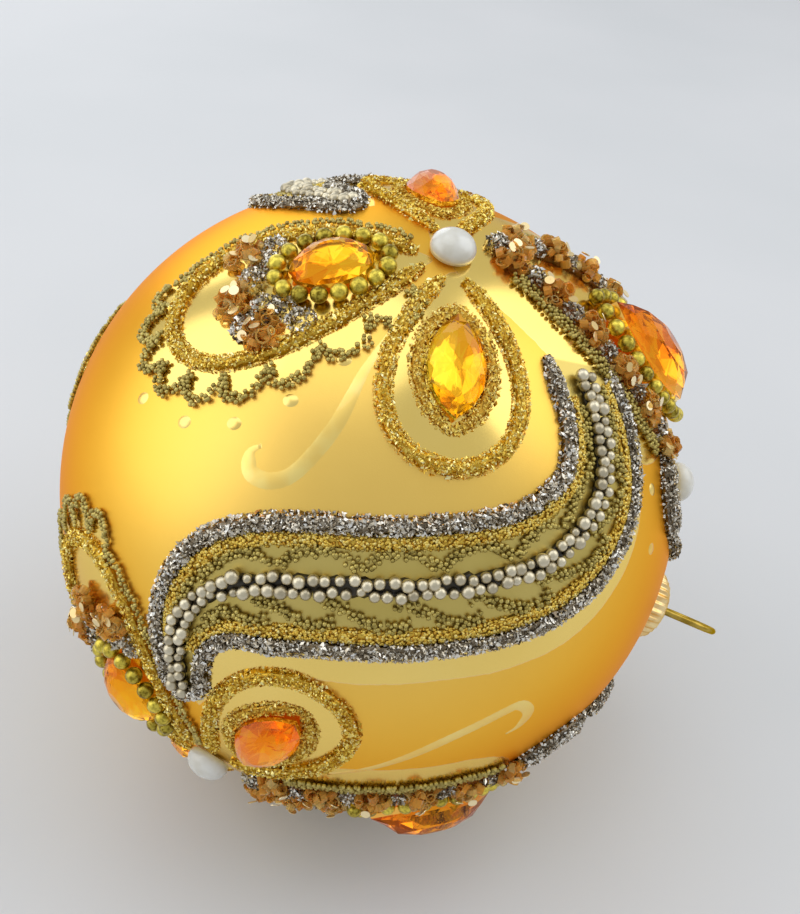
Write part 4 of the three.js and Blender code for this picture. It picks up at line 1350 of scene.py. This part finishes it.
def drop(heap, spot, x, y):
    ring = oval(DROP_RADIUS, DROP_RADIUS * DROP_STRETCH, DROP_SIDES)
    rings = [np.column_stack([ring * far, np.full(DROP_SIDES, DROP_HEIGHT * (1 - far**2))])
             for far in DROP_RINGS]
    heap.skin(spot.frame(x, y, 0.0)(np.stack(rings)))


WET_LACQUER = clouded("wet_clear_lacquer", (300, 2.0), (rgb(254, 216, 112), rgb(255, 228, 134)), (0.26, 0.1),
                      metallic=1.0, specular_tint=rgb(255, 190, 70), coat_weight=0.8, coat_roughness=0.03)
lacquer = Heap()
for flower in flowers:
    for marks, half_width in SWIRLS:
        swirl(lacquer, flower.middle, marks, half_width)
    for x, y in DROPS:
        drop(lacquer, flower.middle, x, y)
    for colatitude, longitude in NORTH_DROPS:
        drop(lacquer, Spot(colatitude, longitude + flower.longitude), 0, 0)
lacquer.make("lacquer_swirls", WET_LACQUER, "satin_gold_glass")

# %% [markdown]
# ## Cap and hanger
# The cap is thin gold-plated sheet, pressed with two rows of pleats and slipped over the neck. The
# hanger is one bent wire whose feet spring apart inside it. Both are turned about the cap's axis.

# %% The cap
CAP_PLEATS = 28
CAP_SEGMENTS = 224
PLEAT_DEPTH, PAIR_DEPTH = 0.22, 0.08
CAP_PROFILE = [
    (5.3, 50.2, 0.0), (5.9, 49.95, 0.4), (6.45, 50.0, 1.0), (6.6, 50.5, 1.0), (6.5, 51.2, 1.0),
    (6.2, 51.8, 0.8), (5.95, 52.2, 0.2), (5.95, 52.6, 0.2), (6.2, 53.0, 0.6), (6.4, 53.6, 1.0),
    (6.4, 54.6, 1.0), (6.35, 55.6, 1.0), (6.15, 56.4, 0.8), (5.8, 57.0, 0.4), (5.2, 57.4, 0.1),
    (4.2, 57.5, 0.0), (3.2, 57.3, 0.0), (2.0, 57.25, 0.0), (0.05, 57.25, 0.0),
]


def gold_plate():
    material, shader, start = finish("gold_plated_sheet", metallic=1.0, specular_tint=rgb(255, 230, 170))
    wear = spots(start, 420, 3.0, 0.6)
    feed(shader, "Base Color", wear.within(0.35, 0.7).between(rgb(236, 192, 120), rgb(252, 226, 170)))
    feed(shader, "Roughness", 0.2 + 0.2 * wear)
    feed(shader, "Normal", bumps(start, spots(start, 1600, 2.0), 0.0001, 0.4))
    return material


def cap_rings():
    turn = np.linspace(0, 2 * math.pi, CAP_SEGMENTS, endpoint=False)
    pleat = PLEAT_DEPTH * np.cos(CAP_PLEATS * turn) + PAIR_DEPTH * np.cos(CAP_PLEATS / 2 * turn)
    ring = oval(1, 1, CAP_SEGMENTS)
    rings = []
    for radius, level, depth in CAP_PROFILE:
        reach = radius + pleat * depth
        rings.append(np.column_stack([ring * reach[:, None], np.full(CAP_SEGMENTS, level)]))
    return from_ball(np.stack(rings))


cap = Heap()
cap.skin(cap_rings())
cap.make("cap_shell", gold_plate(), "cap_brass", "cap")

# %% The hanger
WIRE_RADIUS, LOOP_RADIUS, LOOP_TIP = 0.6, 4.7, 70.6
LOOP_LONGITUDE, LOOP_FOOT_SPREAD, LOOP_FOOT = 46, 2.2, 57.0
LOOP_TURNS = (210, -30, 13)
WIRE_SIDES, WIRE_STEP = 14, 0.35


def loop_line():
    middle = LOOP_TIP - WIRE_RADIUS - LOOP_RADIUS
    turns = np.radians(np.linspace(*LOOP_TURNS))
    arc = np.stack([LOOP_RADIUS * np.cos(turns), middle + LOOP_RADIUS * np.sin(turns)], axis=1)
    bends = np.vstack([[[-LOOP_FOOT_SPREAD, LOOP_FOOT]], arc, [[LOOP_FOOT_SPREAD, LOOP_FOOT]]])
    return even_steps(smooth_curve(bends), WIRE_STEP)


WIRE = clouded("bent_brass_wire", (600, 3.0), (rgb(150, 122, 44), rgb(196, 166, 80)), (0.18, 0.2),
               metallic=1.0, specular_tint=rgb(250, 220, 130))
line, ahead = loop_line()
left = to_left(ahead)
ring = oval(WIRE_RADIUS, WIRE_RADIUS, WIRE_SIDES)
sideways = np.append(direction(LOOP_LONGITUDE), 0.0)
across = np.cross(sideways, [0, 0, 1])
spread = line[:, None, :1] + left[:, None, :1] * ring[None, :, :1]
level = line[:, None, 1:] + left[:, None, 1:] * ring[None, :, :1]
tube = spread * sideways + level * np.array([0, 0, 1.0]) + ring[None, :, 1:] * across
hanger = Heap()
hanger.skin(from_ball(tube))
hanger.make("hanger_wire", WIRE, "wire_brass", "wire_loop")

# %% [markdown]
# ## Floor and light
# The ball lies on a plain pale surface in the soft daylight of a room. Large round area lights stand
# for its windows: one on the left gives the broad satin highlight, one beyond the ball lights its far
# edge, one on the right fills. A ceiling light and a pale world do the rest.

# %% The floor
FLOOR_SIZE = 3.0


def floor_finish():
    material, shader, start = finish("pale_surface", roughness=0.6)
    cloud = spots(start, 6, 3.0)
    feed(shader, "Base Color", cloud.within(0.3, 0.7).between(rgb(209, 211, 215), rgb(215, 216, 220)))
    return material


floor_mesh = bpy.data.meshes.new("floor")
corners = [(x * FLOOR_SIZE, y * FLOOR_SIZE, 0.0) for x, y in ((-1, -1), (1, -1), (1, 1), (-1, 1))]
floor_mesh.from_pydata(corners, [], [(0, 1, 2, 3)])
floor_mesh.materials.append(floor_finish())
floor = bpy.data.objects.new("floor", floor_mesh)
bpy.context.scene.collection.objects.link(floor)
print("floor", 2 * FLOOR_SIZE, "m wide")

# %% Lights
LIGHTS = [
    ("window", (-0.69, -0.08, 0.36), 0.95, 2.25, (1.0, 0.99, 0.96)),
    ("far_window", (-0.45, 0.95, 0.4), 0.9, 2.2, (0.94, 0.97, 1.0)),
    ("ceiling", (-0.2, 0.02, 0.95), 0.8, 1.45, (0.97, 0.99, 1.0)),
    ("right_window", (0.54, 0.12, 0.55), 0.8, 1.75, (1.0, 0.99, 0.97)),
]
WORLD_COLOR, WORLD_STRENGTH = (0.96, 0.99, 1.0, 1.0), 0.6


def aim(thing, target):
    away = np.array(thing.location) - np.array(target)
    pitch = math.atan2(math.hypot(away[0], away[1]), away[2])
    thing.rotation_euler = (pitch, 0, math.atan2(away[0], -away[1]))


for name, place, size, power, color in LIGHTS:
    lamp = bpy.data.lights.new(name, "AREA")
    lamp.shape = "DISK"
    lamp.size = size
    lamp.energy = power
    lamp.color = color
    light = bpy.data.objects.new(name, lamp)
    light.location = place
    aim(light, BALL_CENTRE * MM)
    bpy.context.scene.collection.objects.link(light)

world = bpy.data.worlds.new("pale_room")
bpy.context.scene.world = world
world.use_nodes = True
background = world.node_tree.nodes["Background"]
background.inputs["Color"].default_value = WORLD_COLOR
background.inputs["Strength"].default_value = WORLD_STRENGTH
bpy.context.scene.view_settings.view_transform = "Standard"
print(len(LIGHTS), "lights")
